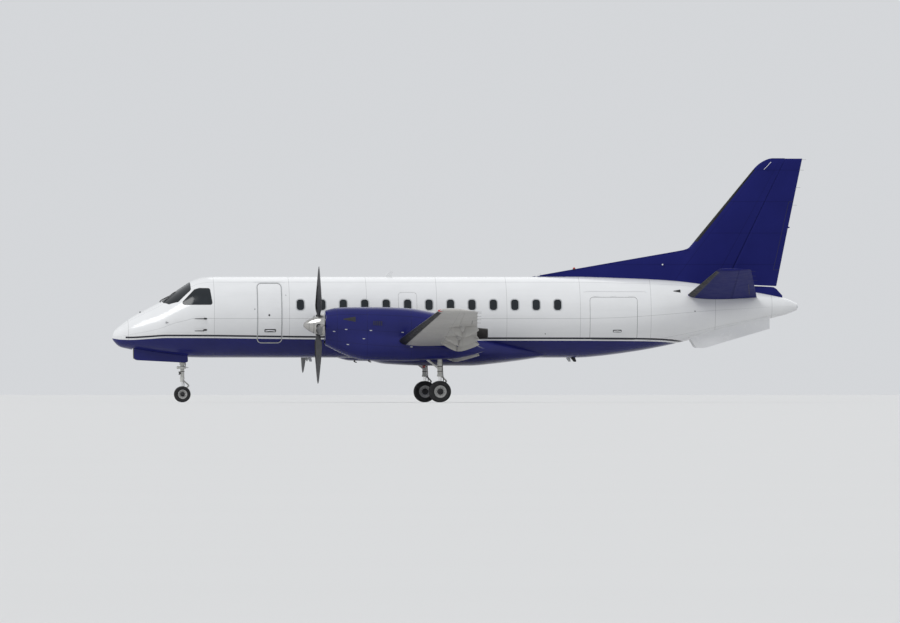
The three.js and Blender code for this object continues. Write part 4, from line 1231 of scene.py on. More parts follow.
def finBody(shape):
    # level rings; two thin lips reach over the round nose of the rudder
    shoulder, top = fin["shoulder"], fin["top"]
    height = np.concatenate([np.linspace(fin["base"], 1.1, 4), np.linspace(1.14, 2.3, 44)[:-1],
                             np.linspace(2.3, shoulder, 16)[:-1],
                             shoulder + (top - shoulder) * eased(14, 0.6)])[:, None]
    x, half = finRing(height, eased(40, 0.7)[None] ** 1.3)
    half[:, 0] = 0
    leading, length, _, _, noseReach, _ = finSection(height)
    lip = (noseReach * (1 - 0.6 * tipThinning(height)) + fin["rudderGap"]) * (height < top - 0.004)
    x = np.concatenate([x, x[:, -1:] + lip * [0.5, 1, 1, 0]], 1)
    outer = length * halfThickness((x[:, -4:] - leading) / length, fin["thickness"]) * tipThinning(height)
    outer = np.minimum(outer, half[:, -1:]) - np.array([0, 0, 0.003, 0.003])
    half = np.concatenate([half, np.maximum(outer, 0.001)], 1)
    ring = np.concatenate([pointsOf(x, half, height)[:, ::-1], pointsOf(x, -half, height)[:, 1:]], 1)
    return shape.capped(ring)


def finBoot(shape):
    # a thin rubber sleeve round the leading edge above the dorsal fillet
    height = np.linspace(2.16, fin["shoulder"] - 0.03, 24)[:, None]
    reach = np.array([0, 0.002, 0.006, 0.012, 0.022, 0.036, 0.055, 0.075])[None]
    x, half = finRing(height, reach)
    last = reach.size - 1
    layers = []
    for rise in (0.0025, -0.003):
        grown = half + rise * np.where(np.arange(reach.size) == last, 0.3, 1)
        y = np.concatenate([grown[:, ::-1], -grown[:, 1:]], 1)
        y[:, last] = 0
        across = np.concatenate([x[:, ::-1], x[:, 1:]], 1)
        across[:, last] -= rise
        layers.append(pointsOf(across, y, height))
    return shape.slab(*layers, 1)


def finFoot(shape):
    # the fairing under the rudder: rounded above, with its flat base inside the hull
    stations, tops, halves = np.array(fin["foot"]).T
    station = np.linspace(stations[0], stations[-1], 24)[:, None]
    top, wide = smoothCurve(station, stations, tops), smoothCurve(station, stations, halves)
    angle = np.linspace(0, math.pi, 15)
    across, up = np.cos(angle), np.abs(np.sin(angle)) ** 0.35
    return shape.capped(pointsOf(station, wide * across, 0.3 + (top - 0.3) * up))


def rudderHalf(length, share):
    # half the rudder's thickness, 1 mm inside the section and never sharper than 3 mm
    return np.maximum(length * halfThickness(share, fin["thickness"]) - 0.001, 0.003)


def rudderBody(shape):
    # level rings round the hinge line; the lower edge falls towards the rear
    height = np.concatenate([np.linspace(fin["rudderBottom"], 4.42, 20), [4.46, 4.5, 4.525, 4.53]])[:, None]
    squeeze = tipThinning(height) * np.interp(height, [4.5, 4.525, 4.53], [1, 0.85, 0.6])
    leading, length, share, radius, noseReach, hinge = finSection(height)
    angle = np.radians(np.linspace(90, 270, 17))
    nose = pointsOf(hinge + noseReach * squeeze * np.cos(angle), radius * squeeze * np.sin(angle), height)
    part = share + (1 - share) * np.linspace(0.04, 1, 14)
    half = rudderHalf(length, part) * squeeze
    ring = wrapped(lambda face: pointsOf(leading + part * length, face * half, height), nose)
    fall = fin["footFall"] * np.clip(1 - (height - fin["rudderBottom"]) / 1.75, 0, 1)
    ring[..., 2] -= fall * (ring[..., 0] - hinge)
    return shape.capped(ring)


def finAlong(x, y, z):
    # the share of the fin's chord in metres of its mean, or the station ahead of it
    leading, length = finSection(z)[:2]
    return np.where(x > leading, fin["meanChord"] * (x - leading) / length, x - leading)


def heightOf(x, y, z):
    return z


def tail():
    shape = Shape()
    finBody(shape)
    finBoot(shape)
    finFoot(shape)
    for start, end, radius, finish, count in fin["rods"]:
        for side in (-1, 1):
            mirror = np.array([1, side, 1])
            shape.rod(mirror * start, mirror * end, radius, finish, count)
    piece = shape.build("fin_skin", "tail boot white lens")
    skinPlace(piece, finAlong, heightOf)
    fit(piece, "airframe", "navy_skin", "fin")
    panel = Shape()
    rudderBody(panel)
    low, high = fin["tab"]
    path = [[0.0, low], [0.17, low], [0.13, high], [0.0, high]]
    for side in (-1, 1):
        def place(u, v, w):
            leading, length = finSection(v)[:2]
            x = lineAt(fin["trailing"], v) - u
            return pointsOf(x, side * (rudderHalf(length, (x - leading) / length) + w), v)
        trail(panel, path, place, 0.01, -0.0015, 0.001, 1, 40)
    height = fin["lampHeight"]
    profile = [[0, 0], [0.016, 0.01], [0.024, 0.05], [0.024, 0.11], [0.012, 0.15], [0, 0.155]]
    panel.lathe(profile, [lineAt(fin["trailing"], height) - 0.1, 0, height], [1, 0, 0.05], 16)
    for height in fin["wicks"]:
        start = np.array([lineAt(fin["trailing"], height) - 0.01, 0, height])
        panel.rod(start, start + [0.13, 0, 0], 0.0028, 1, 8)
    piece = panel.build("rudder_skin", "tail dark")
    skinPlace(piece, finAlong, heightOf)
    fit(piece, "rudder", "navy_skin", "rudder")


strakes = {
    "corners": [[16.35, -0.4], [18.78, 0.2], [18.78, -0.33], [16.9, -0.88], [16.65, -0.87]],
    "radii": [0.01, 0.01, 0.03, 0.04, 0.08], "half": 0.012,
    # distance out at the front of the root, and how it changes aft and down
    "out": 0.33, "aft": -0.05, "down": 0.12,
}


def ventralStrakes():
    outline = roundedOutline(strakes["corners"], strakes["radii"], 5)
    for name, side in sides.items():
        def place(u, v, w):
            out = strakes["out"] + strakes["aft"] * (u - 16.35) + strakes["down"] * (-0.2 - v)
            return pointsOf(u, side * out + w, v)
        shape = Shape().plate(outline, place, -strakes["half"], strakes["half"], bevel=0.006)
        piece = shape.build(f"ventral_strake_{name}_skin", "white")
        fit(piece, "airframe", "strake_skin", f"ventral_strake_{name}")


# Nacelles and belly fairing

ovals = {
    # station, half width, height of the widest point, top, bottom
    "belly": [[6.95, 0.56, -1.0, -0.88, -1.128], [7.3, 0.85, -0.96, -0.64, -1.22],
              [7.8, 1.06, -0.93, -0.44, -1.335], [9.0, 1.13, -0.93, -0.38, -1.385],
              [10.2, 1.11, -0.93, -0.4, -1.385], [10.85, 1.0, -0.96, -0.52, -1.33],
              [11.6, 0.77, -1.0, -0.72, -1.24], [12.3, 0.45, -1.04, -0.94, -1.135]],
    "nacelle": [[5.875, 0.41, -0.235, 0.18, -0.64], [6.2, 0.45, -0.25, 0.25, -0.8],
                [6.6, 0.48, -0.27, 0.27, -0.9], [7.4, 0.5, -0.29, 0.272, -0.95],
                [8.2, 0.5, -0.3, 0.24, -0.95], [8.9, 0.45, -0.34, 0.13, -0.9],
                [9.6, 0.345, -0.42, -0.07, -0.85], [10.15, 0.225, -0.48, -0.285, -0.69]],
    "pod": [[5.9, 0.3, -0.65, -0.5, -0.815], [6.35, 0.4, -0.7, -0.4, -1.04],
            [6.6, 0.45, -0.74, -0.4, -1.14], [7.0, 0.5, -0.78, -0.4, -1.235],
            [8.0, 0.53, -0.82, -0.5, -1.255], [9.0, 0.51, -0.86, -0.6, -1.228],
            [9.5, 0.44, -0.89, -0.65, -1.2], [10.0, 0.27, -0.9, -0.74, -1.11],
            [10.4, 0.04, -0.95, -0.9, -0.985]],
}


nacelle = {
    "front": 5.875, "split": 9.9, "heart": (-0.52, -0.757), "lip": 0.035, "arc": 0.55,
    "reach": 3.355, "upperPower": 2.2, "podPower": 2.5, "bellyPower": 2.3,
    "intake": {"from": 5.8, "to": 6.26, "half": 0.2, "low": -0.77, "high": -0.67},
    "bay": {"from": 8.56, "to": 9.36, "half": 0.17, "roof": -1.03},
    "exhaust": 10.1, "exhaustHeight": -0.48, "shaftHole": 0.16,
    # radius and distance aft of the exhaust pipe
    "pipe": [[0, 0], [0.175, 0], [0.165, 0.15], [0.15, 0.3], [0.142, 0.395], [0.139, 0.4], [0.134, 0.396],
             [0.125, 0.3], [0.115, 0.05], [0, 0.05]],
    # latches on both flanks: station and degrees up from the outward direction
    "latches": ((6.11, 15), (6.95, -5), (7.15, 22), (8.05, 22), (6.45, 22), (8.3, -20), (6.5, -28)),
}


def ovalGrid(rows, power, centre, count, around=72, start=None):
    # rounded squares whose half width, middle, top and bottom run smoothly from row to row
    table = np.array(rows).T
    start, end = table[0, 0] if start is None else start, table[0, -1]
    station = start + (end - start) * eased(count, 0.35)
    wide, middle, top, bottom = (smoothCurve(station, table[0], column)[:, None] for column in table[1:])
    angle = turn * (np.arange(around) + 0.5) / around
    across, up = (np.sign(value) * np.abs(value) ** (2 / power) for value in (np.cos(angle), np.sin(angle)))
    height = middle + up * np.where(up > 0, top - middle, middle - bottom)
    return pointsOf(station[:, None], centre + across * wide, height)


def nacellePoint(side, station, angle, off=0.0):
    # the two lobes' gauges joined by a soft minimum, so that their crease is a fillet; the skin lies
    # where the joined gauge is nothing, found by halving the interval along each ray
    station, angle, off = np.broadcast_arrays(station, angle, off)
    first, last = nacelle["front"], nacelle["split"]
    travel = np.clip((station - first) / (last - first), 0, 1)
    heart = nacelle["heart"][0] + travel * (nacelle["heart"][1] - nacelle["heart"][0])
    blend = 0.045 * (1 - travel ** 3) + 0.003
    lobes = []
    for key, power in (("nacelle", nacelle["upperPower"]), ("pod", nacelle["podPower"])):
        table = np.array(ovals[key]).T
        lobes.append((power, [smoothCurve(station, table[0], column) for column in table[1:]]))
    low, high = np.zeros(station.shape), np.full(station.shape, 1.3)
    for _ in range(24):
        middle = (low + high) / 2
        gauges = []
        for power, (wide, centre, top, bottom) in lobes:
            rise = heart + middle * np.sin(angle) - centre
            tall = np.where(rise > 0, top - centre, centre - bottom)
            gauge = np.abs(middle * np.cos(angle) / wide) ** power + np.abs(rise / tall) ** power
            gauges.append(0.45 * (gauge ** (1 / power) - 1))
        joined = -blend * np.logaddexp(-gauges[0] / blend, -gauges[1] / blend)
        low, high = np.where(joined < 0, middle, low), np.where(joined < 0, high, middle)
    # the front lip is rounded off over its first few centimetres
    ahead = np.clip(1 - (station - first) / nacelle["lip"], 0, 1)
    radius = low + 0.0015 - 0.028 * (1 - np.sqrt(1 - 0.98 * ahead ** 2)) + off
    y = side * (nacelle["reach"] + radius * np.cos(angle))
    return pointsOf(station, y, heart + radius * np.sin(angle))


def onNacelle(side):
    # u is the station, v the height above the heart as an arc on the outer flank, w the distance off
    return lambda u, v, w: nacellePoint(side, u, v / nacelle["arc"], w)


def fitCowling(shape, side, name, kinds, *nodes, cutter=None):
    # one piece of a nacelle; its skin is measured by the station and by the angle up or down from
    # the outward direction, as a length
    piece = shape.build(name, kinds)
    if cutter:
        carve(piece, cutter.build("cutter"))

    def around(x, y, z):
        heart = np.interp(x, [nacelle["front"], nacelle["split"]], nacelle["heart"])
        return nacelle["arc"] * np.abs(np.arctan2(z - heart, side * y - nacelle["reach"]))

    skinPlace(piece, stationOf, around)
    fit(piece, "airframe", "navy_cowling", *nodes)


def nacelles():
    first, last, lip = nacelle["front"], nacelle["split"], nacelle["lip"]
    front = first + lip * np.linspace(0, 1, 7)[:-1] ** 1.5
    station = np.concatenate([front, first + lip + (last - first - lip) * eased(84, 0.3)])[:, None]
    angle = turn * (np.arange(128) + 0.5)[None] / 128
    for name, side in sides.items():
        centre = side * nacelle["reach"]
        cutter = Shape()
        intake, hole = nacelle["intake"], nacelle["shaftHole"]
        half, low, high = (intake[key] for key in ("half", "low", "high"))
        mouth = boxOutline(centre - half, centre + half, low, high, 0.045, 6)
        layers = [pointsOf(x, *mouth.T) for x in (intake["from"], intake["to"])]
        # the intake's walls and flat back wall, and the shaft hole's walls, take the dark steel finish, whose
        # darkness is painted shade standing for the unlit duct beyond
        cutter.capped(np.array(layers), 2)
        bayCut(cutter, nacelle["bay"], centre)
        cutter.lathe([[0, 0], [hole, 0], [hole, 0.06], [0, 0.06]],
                     [first - 0.02, centre, propeller["height"]], [1, 0, 0], 48, 2)
        shape = Shape().capped(nacellePoint(side, station, angle))
        fitCowling(shape, side, f"nacelle_{name}_skin", "cowling bay dark boot cast", f"nacelle_{name}",
                   cutter=cutter)
        shape = Shape()
        for key, power, count in (("nacelle", nacelle["upperPower"], 14), ("pod", nacelle["podPower"], 24)):
            shape.capped(ovalGrid(ovals[key], power, centre, count, start=last - 0.04))
        bead(shape, mouth, lambda u, v, w: pointsOf(first - w, u, v), 0.013, 0.0, 1)
        nacelleFittings(shape, side)
        fitCowling(shape, side, f"nacelle_{name}_fittings", "cowling boot dark rim seal")
        spot = [nacelle["exhaust"], centre, nacelle["exhaustHeight"]]
        piece = Shape().lathe(nacelle["pipe"], spot, [1, 0, 0], 48).build(f"exhaust_{name}_pipe", "exhaust")
        fit(piece, "airframe", "exhaust_metal", f"exhaust_{name}")


def nacelleFittings(shape, side):
    # on both flanks: a submerged inlet, louvres, latches along the cowl split, drains underneath
    cowling, dark, rim = 0, 2, 3
    place = onNacelle(side)
    for flank in (1, -1):
        def arc(degrees):
            return nacelle["arc"] * math.radians(degrees if flank > 0 else 180 - degrees)
        inlet = np.array([[6.3, 0.0], [6.72, -0.055 * flank], [6.72, 0.055 * flank]])
        inlet = roundedOutline(inlet + [0, arc(47)], [0.01, 0.012, 0.012], 4)
        # the inlet's mouth is a flat dark patch, painted shade standing for its hollow
        patch(shape, inlet, place, -0.02, 0.0012, dark, 5)
        for number in range(5):
            x = 7.22 + 0.055 * number
            slat = boxOutline(x, x + 0.035, arc(40) - 0.05, arc(40) + 0.05, 0.012, 4)
            # each louvre's slot is a flat dark patch, painted shade standing for the opening
            patch(shape, slat, place, -0.01, 0.0015, dark, 4)
            bead(shape, slat, place, 0.004, 0.001, cowling, 6)
        for x, degrees in nacelle["latches"]:
            latch = boxOutline(x - 0.035, x + 0.035, arc(degrees) - 0.011, arc(degrees) + 0.011, 0.008, 4)
            patch(shape, latch, place, -0.01, 0.003, rim, 3)
    for offset in (-0.16, 0.14):
        y = side * nacelle["reach"] + offset
        shape.tube([[7.1, y, -1.18], [7.12, y, -1.26], [7.18, y, -1.29]], 0.012, dark, 10, 4)
    y = side * (nacelle["reach"] - 0.12)
    shape.tube([[9.9, y, -0.45], [10.18, y, -0.5], [10.26, y, -0.53]], 0.018, dark, 12, 4)


def bellyFairing():
    shape = Shape().capped(ovalGrid(ovals["belly"], nacelle["bellyPower"], 0, 70, 96))
    piece = shape.build("belly_fairing_skin", "hull")
    skinPlace(piece, stationOf, hullArc, aboveNavy=aboveNavy)
    fit(piece, "airframe", "navy_skin", "belly_fairing")


# Propellers

propeller = {
    "plane": 5.69, "height": -0.239, "radius": 1.675, "blades": 4, "turn": {"left": 8, "right": 37},
    # radius, chord, thickness, pitch from the disc in degrees
    "blade": [[0.15, 0.1, 0.1, 55], [0.33, 0.12, 0.1, 55], [0.43, 0.21, 0.07, 52],
              [0.62, 0.285, 0.042, 45], [0.9, 0.29, 0.027, 35], [1.2, 0.245, 0.018, 29],
              [1.45, 0.18, 0.013, 25], [1.6, 0.115, 0.009, 23], [1.675, 0.045, 0.005, 22]],
    # radius and station of the spinner and of the hub behind it
    "spinner": [[0, 5.26], [0.022, 5.2635], [0.052, 5.275], [0.1, 5.325], [0.134, 5.372],
                [0.164, 5.42], [0.205, 5.495], [0.234, 5.56]],
    "hub": [[0.234, 5.56], [0.272, 5.66], [0.298, 5.76], [0.308, 5.85]],
    # radius and height above the shaft of the cuff at a blade's foot
    "cuff": [[0, 0.24], [0.078, 0.24], [0.078, 0.286], [0.07, 0.292], [0.06, 0.284], [0, 0.284]],
    "sleeve": (0.42, 1.12),
    # station and half width of the thin lines round the spinner
    "lines": ((5.42, 0.0035), (5.553, 0.006)),
}


def bladeGrid():
    # lens sections turned by the pitch at each radius, thickest at a third of the chord; round at
    # the foot
    rows = np.array(propeller["blade"]).T
    tip = 1.6 + 0.075 * np.sin(np.linspace(0.1, 1, 9) * math.pi / 2)
    radius = np.concatenate([np.linspace(0.15, 1.6, 44), tip])
    chord, thick, pitch = (smoothCurve(radius, rows[0], column)[:, None] for column in rows[1:])
    radius = radius[:, None]
    angle = turn * np.arange(28)[None] / 28
    flat = np.clip((radius - 0.33) / 0.15, 0, 1)
    lens = np.sin(angle) * (0.82 + 0.3 * -np.cos(angle)) * 0.95
    form = np.sin(angle) * (1 - flat) + lens * flat
    run, bulge = np.cos(angle) / 2 * chord, form * thick / 2
    sine, cosine = np.sin(np.radians(pitch)), np.cos(np.radians(pitch))
    return pointsOf(run * sine + bulge * cosine, run * cosine - bulge * sine, radius)


def turnedAboutX(points, angle):
    cosine, sine = math.cos(angle), math.sin(angle)
    x, y, z = np.moveaxis(points, -1, 0)
    return pointsOf(x, y * cosine - z * sine, y * sine + z * cosine)


def propellers():
    points = bladeGrid()
    rows, columns = np.meshgrid(points[:-1, 0, 2], np.arange(28), indexing="ij")
    low, high = propeller["sleeve"]
    rubber = np.where((rows > low) & (rows < high) & (abs(columns - 13.5) < 4), 2, 0)
    for name, side in sides.items():
        centre = np.array([propeller["plane"], side * nacelle["reach"], propeller["height"]])
        axis = centre * [0, 1, 1]
        blades, nose = Shape(), Shape()
        for number in range(propeller["blades"]):
            angle = math.radians(propeller["turn"][name]) + turn * number / propeller["blades"]
            blades.capped(centre + turnedAboutX(points, angle), rubber)
            blades.lathe(propeller["cuff"], centre, turnedAboutX(np.array([0.0, 0.0, 1.0]), angle), 32, 3)
        radii, stations = np.array(propeller["hub"]).T
        station = np.linspace(stations[0], stations[-1], 12)
        radius = smoothCurve(station, stations, radii)
        blades.lathe([[0, station[0]], *zip(radius, station), [0, station[-1]]], axis, [1, 0, 0], 64, 1)
        piece = blades.build(f"propeller_{name}_blades", "blade spinner boot dark")
        fit(piece, f"propeller_{name}", "blade", f"propeller_{name}")
        radii, stations = np.array(propeller["spinner"]).T
        first = stations[0]
        station = first + np.linspace(0, 1, 30) ** 2 * (stations[-1] - first)
        radius = smoothCurve(np.sqrt(station - first), np.sqrt(stations - first), radii)
        nose.lathe([*zip(radius, station), [0, station[-1]]], axis, [1, 0, 0], 64)
        for middle, wide in propeller["lines"]:
            ring = float(np.interp(middle, station, radius))
            profile = [[ring - 0.01, middle - wide], [ring + 0.0006, middle - wide],
                       [ring + 0.0014, middle + wide], [ring - 0.01, middle + wide]]
            nose.lathe(profile, axis, [1, 0, 0], 64, 1, True)
        piece = nose.build(f"spinner_{name}_shell", "spinner dark")
        fit(piece, f"propeller_{name}", "spinner_metal", f"spinner_{name}")


# Landing gear

gear = {
    "nose": {"station": 2.0, "radius": 0.2286, "width": 0.15, "half": 0.165, "axle": 0.028, "boss": 0.063},
    "main": {"station": 9.14, "radius": 0.305, "width": 0.19, "half": 0.19, "axle": 0.04, "boss": 0.084},
    "ground": -2.43,
}


def tyreShape(spec, y, centre):
    # a flat tread with five grooves, a round shoulder, and side walls that narrow to the foot
    radius, width = spec["radius"], spec["width"]
    wide, floor = 0.018, radius * (1 - 0.022)
    tread = [(floor, 0.0), (floor, width * wide * 0.6), (radius, width * wide)]
    for groove in (0.13, 0.24):
        for size, share in ((radius, -1), (floor, -0.6), (floor, 0.6), (radius, 1)):
            tread.append((size, width * (groove + wide * share)))
    shoulder = [(radius * (0.84 + 0.16 * math.sin(a) ** 0.8), width * (0.3 + 0.2 * math.cos(a) ** 0.7))
                for a in np.linspace(0, math.pi / 2, 12)[::-1]]
    foot = [(radius * r, width * w)
            for r, w in ((0.76, 0.497), (0.68, 0.475), (0.61, 0.435), (0.565, 0.395), (0.54, 0.37))]
    half = np.array(tread + shoulder + foot)
    profile = np.concatenate([half, half[-1:0:-1] * [1, -1]])
    return Shape().lathe(profile, [spec["station"], y, centre], [0, 1, 0], 72, closed=True)


def wheelPairShape(spec, centre, height):
    # both wheel halves and the axle as one turned profile, dished outside to a middle painted dark as
    # shade in the dish, with dark bolts in the dish and pale studs inside the rim
    half, width = spec["half"], spec["width"]
    seat = 0.54 * spec["radius"]
    inner, outer = half - 0.4 * width, half + 0.4 * width
    side = [[spec["axle"], spec["boss"] + 0.008], [seat * 0.6, spec["boss"] + 0.008]]
    side += [[seat * share, inner + step]
             for share, step in ((0.62, 0), (1.06, 0), (1.06, 0.008), (1, 0.014))]
    side += [[seat * share, outer - step] for share, step in (
        (1, 0.014), (1.06, 0.006), (1.06, 0), (0.94, 0), (0.9, 0.006), (0.84, 0.034), (0.55, 0.044),
        (0.38, 0.03), (0.34, 0.004), (0.28, 0), (0, -0.001))]
    profile = [[r, -y] for r, y in side[::-1]] + side
    # the middle of the dish takes the dark finish as painted shade where the dish lies deep inside the rim
    dark = [max(first[0], second[0]) < 0.56 * seat and min(abs(first[1]), abs(second[1])) > inner
            for first, second in zip(profile[:-1], profile[1:])]
    place = np.array([spec["station"], centre, height])
    shape = Shape().lathe(profile, place, [0, 1, 0], 72, np.where(dark, 1, 0)[:, None])
    for face in (-1, 1):
        for count, ring, size, length, finish in ((10, 0.7, 0.009, 0.012, 1), (20, 0.9, 0.004, 0.044, 0)):
            for number in range(count):
                angle = turn * (number + 0.5) / count
                spot = place + [ring * seat * math.cos(angle), face * (outer - 0.046),
                                ring * seat * math.sin(angle)]
                shape.rod(spot, spot + np.array([0, face * length, 0]), size * seat / 0.16, finish, 8)
    return shape


def wheels(prefix, spec, centre, body, tyreNames):
    height = spec["radius"] + gear["ground"]
    piece = wheelPairShape(spec, centre, height).build(f"{prefix}_hubs", "hub dark")
    fit(piece, body, "wheel_hub", f"{prefix}_wheel_hubs")
    for direction, label in zip((-1, 1), tyreNames):
        tyre = tyreShape(spec, centre + direction * spec["half"], height)
        fit(tyre.build(f"{prefix}_{label}_tyre", "tyre", sharp=50), body, "tyre", f"{prefix}_tyre_{label}")


def pin(shape, x, z, half, radius, sides=24):
    # a round bar across, from one side to the other
    return shape.rod([x, -half, z], [x, half, z], radius, 0, sides)


def posts(shape, station, rows):
    # upright bars on one line: top, bottom, radius, finish
    for top, bottom, radius, finish in rows:
        shape.rod([station, 0, top], [station, 0, bottom], radius, finish)


def sleeve(shape, start, length, inner, outer, finish=0):
    # a ring round an upright leg, its outer edges taken off
    cut = min(0.003, abs(length) / 4) * np.sign(length)
    side = outer - abs(cut)
    shape.lathe([[inner, 0], [side, 0], [outer, cut], [outer, length - cut], [side, length], [inner, length]],
                start, [0, 0, 1], 40, finish, True)


def lamp(shape, front, radius, housing, lens):
    # a bowl open to the front with a bulging lens in its mouth
    bowl = [[0, 1], [0.33, 1], [0.83, 0.52], [1, 0], [0.92, 0], [0.83, 0.16], [0, 0.22]]
    shape.lathe([[radius * r, radius * x] for r, x in bowl], front, [1, 0, 0], 28, housing)
    glass = [[0, 0.13], [0.84, 0.13], [0.74, -0.04], [0.4, -0.15], [0, -0.18]]
    shape.lathe([[radius * r, radius * x] for r, x in glass], front, [1, 0, 0], 28, lens)


def linkPlates(shape, start, end, half):
    # a torque link: two tapered cheeks, a web between them and a pin at each end
    start, end = np.array(start), np.array(end)
    along = (end - start) / np.linalg.norm(end - start)
    off = np.array([-along[1], along[0]])
    for low, high, wide in ((-half, -half + 0.012, 0.024), (half - 0.012, half, 0.024), (-half, half, 0.006)):
        near, far = off * wide, off * wide * 0.8
        edge = np.array([start - near, end - far, end + far, start + near])
        shape.plate(roundedOutline(edge, wide * 0.6, 5), sidePlace(), low, high, bevel=0.002)
    for x, z in (start, end):
        pin(shape, x, z, half + 0.01, 0.016, sides=16)


def noseLeg():
    # the outer tube with its collars, the drag strut with its pins, three lamps and the hoses
    steel, chrome, dark, lens, hose = range(5)
    leg = Shape()
    leg.lathe([[0, 0.761], [0.052, 0.761], [0.058, 0.767], [0.058, 1.755], [0.054, 1.759], [0.045, 1.759],
               [0.045, 1.5], [0, 1.5]], [2, 0, 0], [0, 0, -1], 40)
    posts(leg, 2, ((-1.29, -1.37, 0.078, steel), (-1.4, -1.48, 0.07, steel), (-1.02, -1.06, 0.066, steel)))
    sleeve(leg, [2, 0, -1.72], -0.042, 0.046, 0.07)
    pin(leg, 2, -0.83, 0.15, 0.045)
    pin(leg, 1.33, -0.84, 0.12, 0.036)
    for y in (-0.045, 0.045):
        leg.rod([1.99, y, -1.33], [1.66, y, -1.086], 0.022)
    leg.rod([1.66, 0, -1.086], [1.33, 0, -0.84], 0.03)
    pin(leg, 1.66, -1.086, 0.075, 0.026)
    for y in (-0.085, 0.085):
        leg.rod([1.86, y, -1.44], [2.1, y, -1.44], 0.033)
        leg.rod([1.85, y, -1.44], [1.9, y, -1.44], 0.038)
        leg.rod([2.1, y, -1.44], [2.17, y, -1.44], 0.013, chrome)
        leg.rod([2, y * 0.4, -1.59], [1.93, y * 1.15, -1.59], 0.014)
        lamp(leg, [1.9, y * 1.15, -1.6], 0.052, dark, lens)
    pin(leg, 2, -1.44, 0.115, 0.034)
    lamp(leg, [1.895, 0, -1.2], 0.06, dark, lens)
    leg.rod([1.93, 0, -1.2], [1.99, 0, -1.2], 0.018, dark)
    for y in (-0.035, 0.035):
        leg.tube([[2.055, y, -0.85], [2.075, y * 1.3, -1.05], [2.066, y, -1.22], [2.095, y * 1.2, -1.36],
                  [2.06, y * 1.4, -1.43]], 0.0085, hose, 10, 8)
    leg.tube([[2.0, 0.064, -0.9], [2.0, 0.072, -1.2], [2.005, 0.074, -1.5], [2.0, 0.064, -1.62]],
             0.007, hose, 8, 6)
    for z in (-1.1, -1.2, -1.56):
        sleeve(leg, [2, 0, z], 0.018, 0.056, 0.064, dark)
    fit(leg.build("nose_leg_strut", "gear chrome dark lens hose"), "airframe", "gear_steel", "nose_leg")


def noseFork(spec, axle):
    # the bright piston, its collars, the torque links, a towing lug and a hose
    steel, chrome, hose = range(3)
    fork = Shape()
    posts(fork, 2, ((-1.54, axle, 0.036, chrome), (-1.768, -1.85, 0.06, steel),
                    (-2.03, axle + 0.03, 0.046, steel)))
    pin(fork, 2, axle, spec["boss"], 0.054)
    for start, end in (([2.045, -1.82], [2.19, -1.95]), ([2.19, -1.95], [2.03, -2.12])):
        linkPlates(fork, start, end, 0.028)
    fork.plate(boxOutline(1.88, 1.97, -2.23, -2.16, 0.02, 5), sidePlace(), -0.028, 0.028)
    pin(fork, 2, -2.1, 0.03, 0.05)
    fork.tube([[2.03, 0.045, -1.8], [2.06, 0.06, -1.92], [2.05, 0.055, -2.05], [2.01, 0.045, -2.14]],
              0.006, hose, 8, 6)
    piece = fork.build("nose_fork_piston", "gear chrome hose")
    fit(piece, "nose_steering", "gear_steel", "nose_fork")


def noseGear():
    spec = gear["nose"]
    noseLeg()
    noseFork(spec, spec["radius"] + gear["ground"])
    wheels("nose", spec, 0, "nose_wheels", ("left", "right"))


def mainLeg(spec, station, axle):
    # tube and piston with collars, the drag strut with its pins, torque links, brakes and hoses
    steel, chrome, brake, hose = range(4)
    leg = Shape()
    posts(leg, station, ((-1.031, -1.69, 0.068, steel), (-1.6, axle, 0.048, chrome),
                         (-1.64, -1.7, 0.082, steel), (-1.3, -1.34, 0.078, steel),
                         (-2.02, axle + 0.03, 0.06, steel)))
    pin(leg, station, -1.11, 0.155, 0.055)
    pin(leg, 8.63, -1.09, 0.15, 0.038)
    for y in (-0.05, 0.05):
        leg.rod([station, y, -1.5], [8.9, y, -1.307], 0.024)
    leg.rod([8.9, 0, -1.307], [8.63, 0, -1.09], 0.032)
    pin(leg, 8.9, -1.307, 0.08, 0.028)
    pin(leg, station, axle, spec["boss"], 0.074)
    knee = [station + 0.19, -1.83]
    linkPlates(leg, [station + 0.05, -1.68], knee, 0.034)
    linkPlates(leg, knee, [station + 0.04, -2.03], 0.034)
    drum = [[0.04, 0.04], [0.095, 0.04], [0.125, 0.046], [0.128, 0.052], [0.128, 0.082], [0.11, 0.085],
            [0.04, 0.085]]
    for face in (-1, 1):
        leg.lathe(drum, [station, 0, axle], [0, face, 0], 48, brake)
        for number in range(6):
            angle = turn * (number + 0.5) / 6
            spot = [station + 0.098 * math.cos(angle), face * 0.024, axle + 0.098 * math.sin(angle)]
            leg.rod(spot, [spot[0], face * 0.048, spot[2]], 0.017, brake, 14)
        leg.tube([[station + 0.06, face * 0.045, -1.15], [station + 0.075, face * 0.06, -1.4],
                  [station + 0.085, face * 0.055, -1.62], [station + 0.1, face * 0.062, -1.8],
                  [station + 0.085, face * 0.06, -1.96], [station + 0.07, face * 0.05, axle + 0.1]],
                 0.008, hose, 10, 8)
    pin(leg, station, -1.67, 0.1, 0.026)
    leg.rod([station, -0.02, axle], [station - 0.085, -0.02, axle], 0.03)
    leg.rod([station - 0.085, -0.02, axle], [station - 0.11, -0.02, axle], 0.018, chrome)
    for z in (-1.18, -1.42, -1.56):
        sleeve(leg, [station, 0, z], 0.02, 0.066, 0.074, brake)
    return leg.tube([[8.66, 0.04, -1.1], [8.9, 0.055, -1.28], [9.08, 0.06, -1.42]], 0.007, hose, 8, 6)


def mainGear():
    spec = gear["main"]
    for name, side in sides.items():
        centre = side * nacelle["reach"]
        leg = mainLeg(spec, spec["station"], spec["radius"] + gear["ground"])
        leg.points = [points + [0, centre, 0] for points in leg.points]
        piece = leg.build(f"main_leg_{name}_strut", "gear chrome brake hose")
        fit(piece, "airframe", "gear_steel", f"main_leg_{name}")
        names = ("outer", "inner") if side < 0 else ("inner", "outer")
        wheels(f"main_{name}", spec, centre, f"main_wheels_{name}", names)


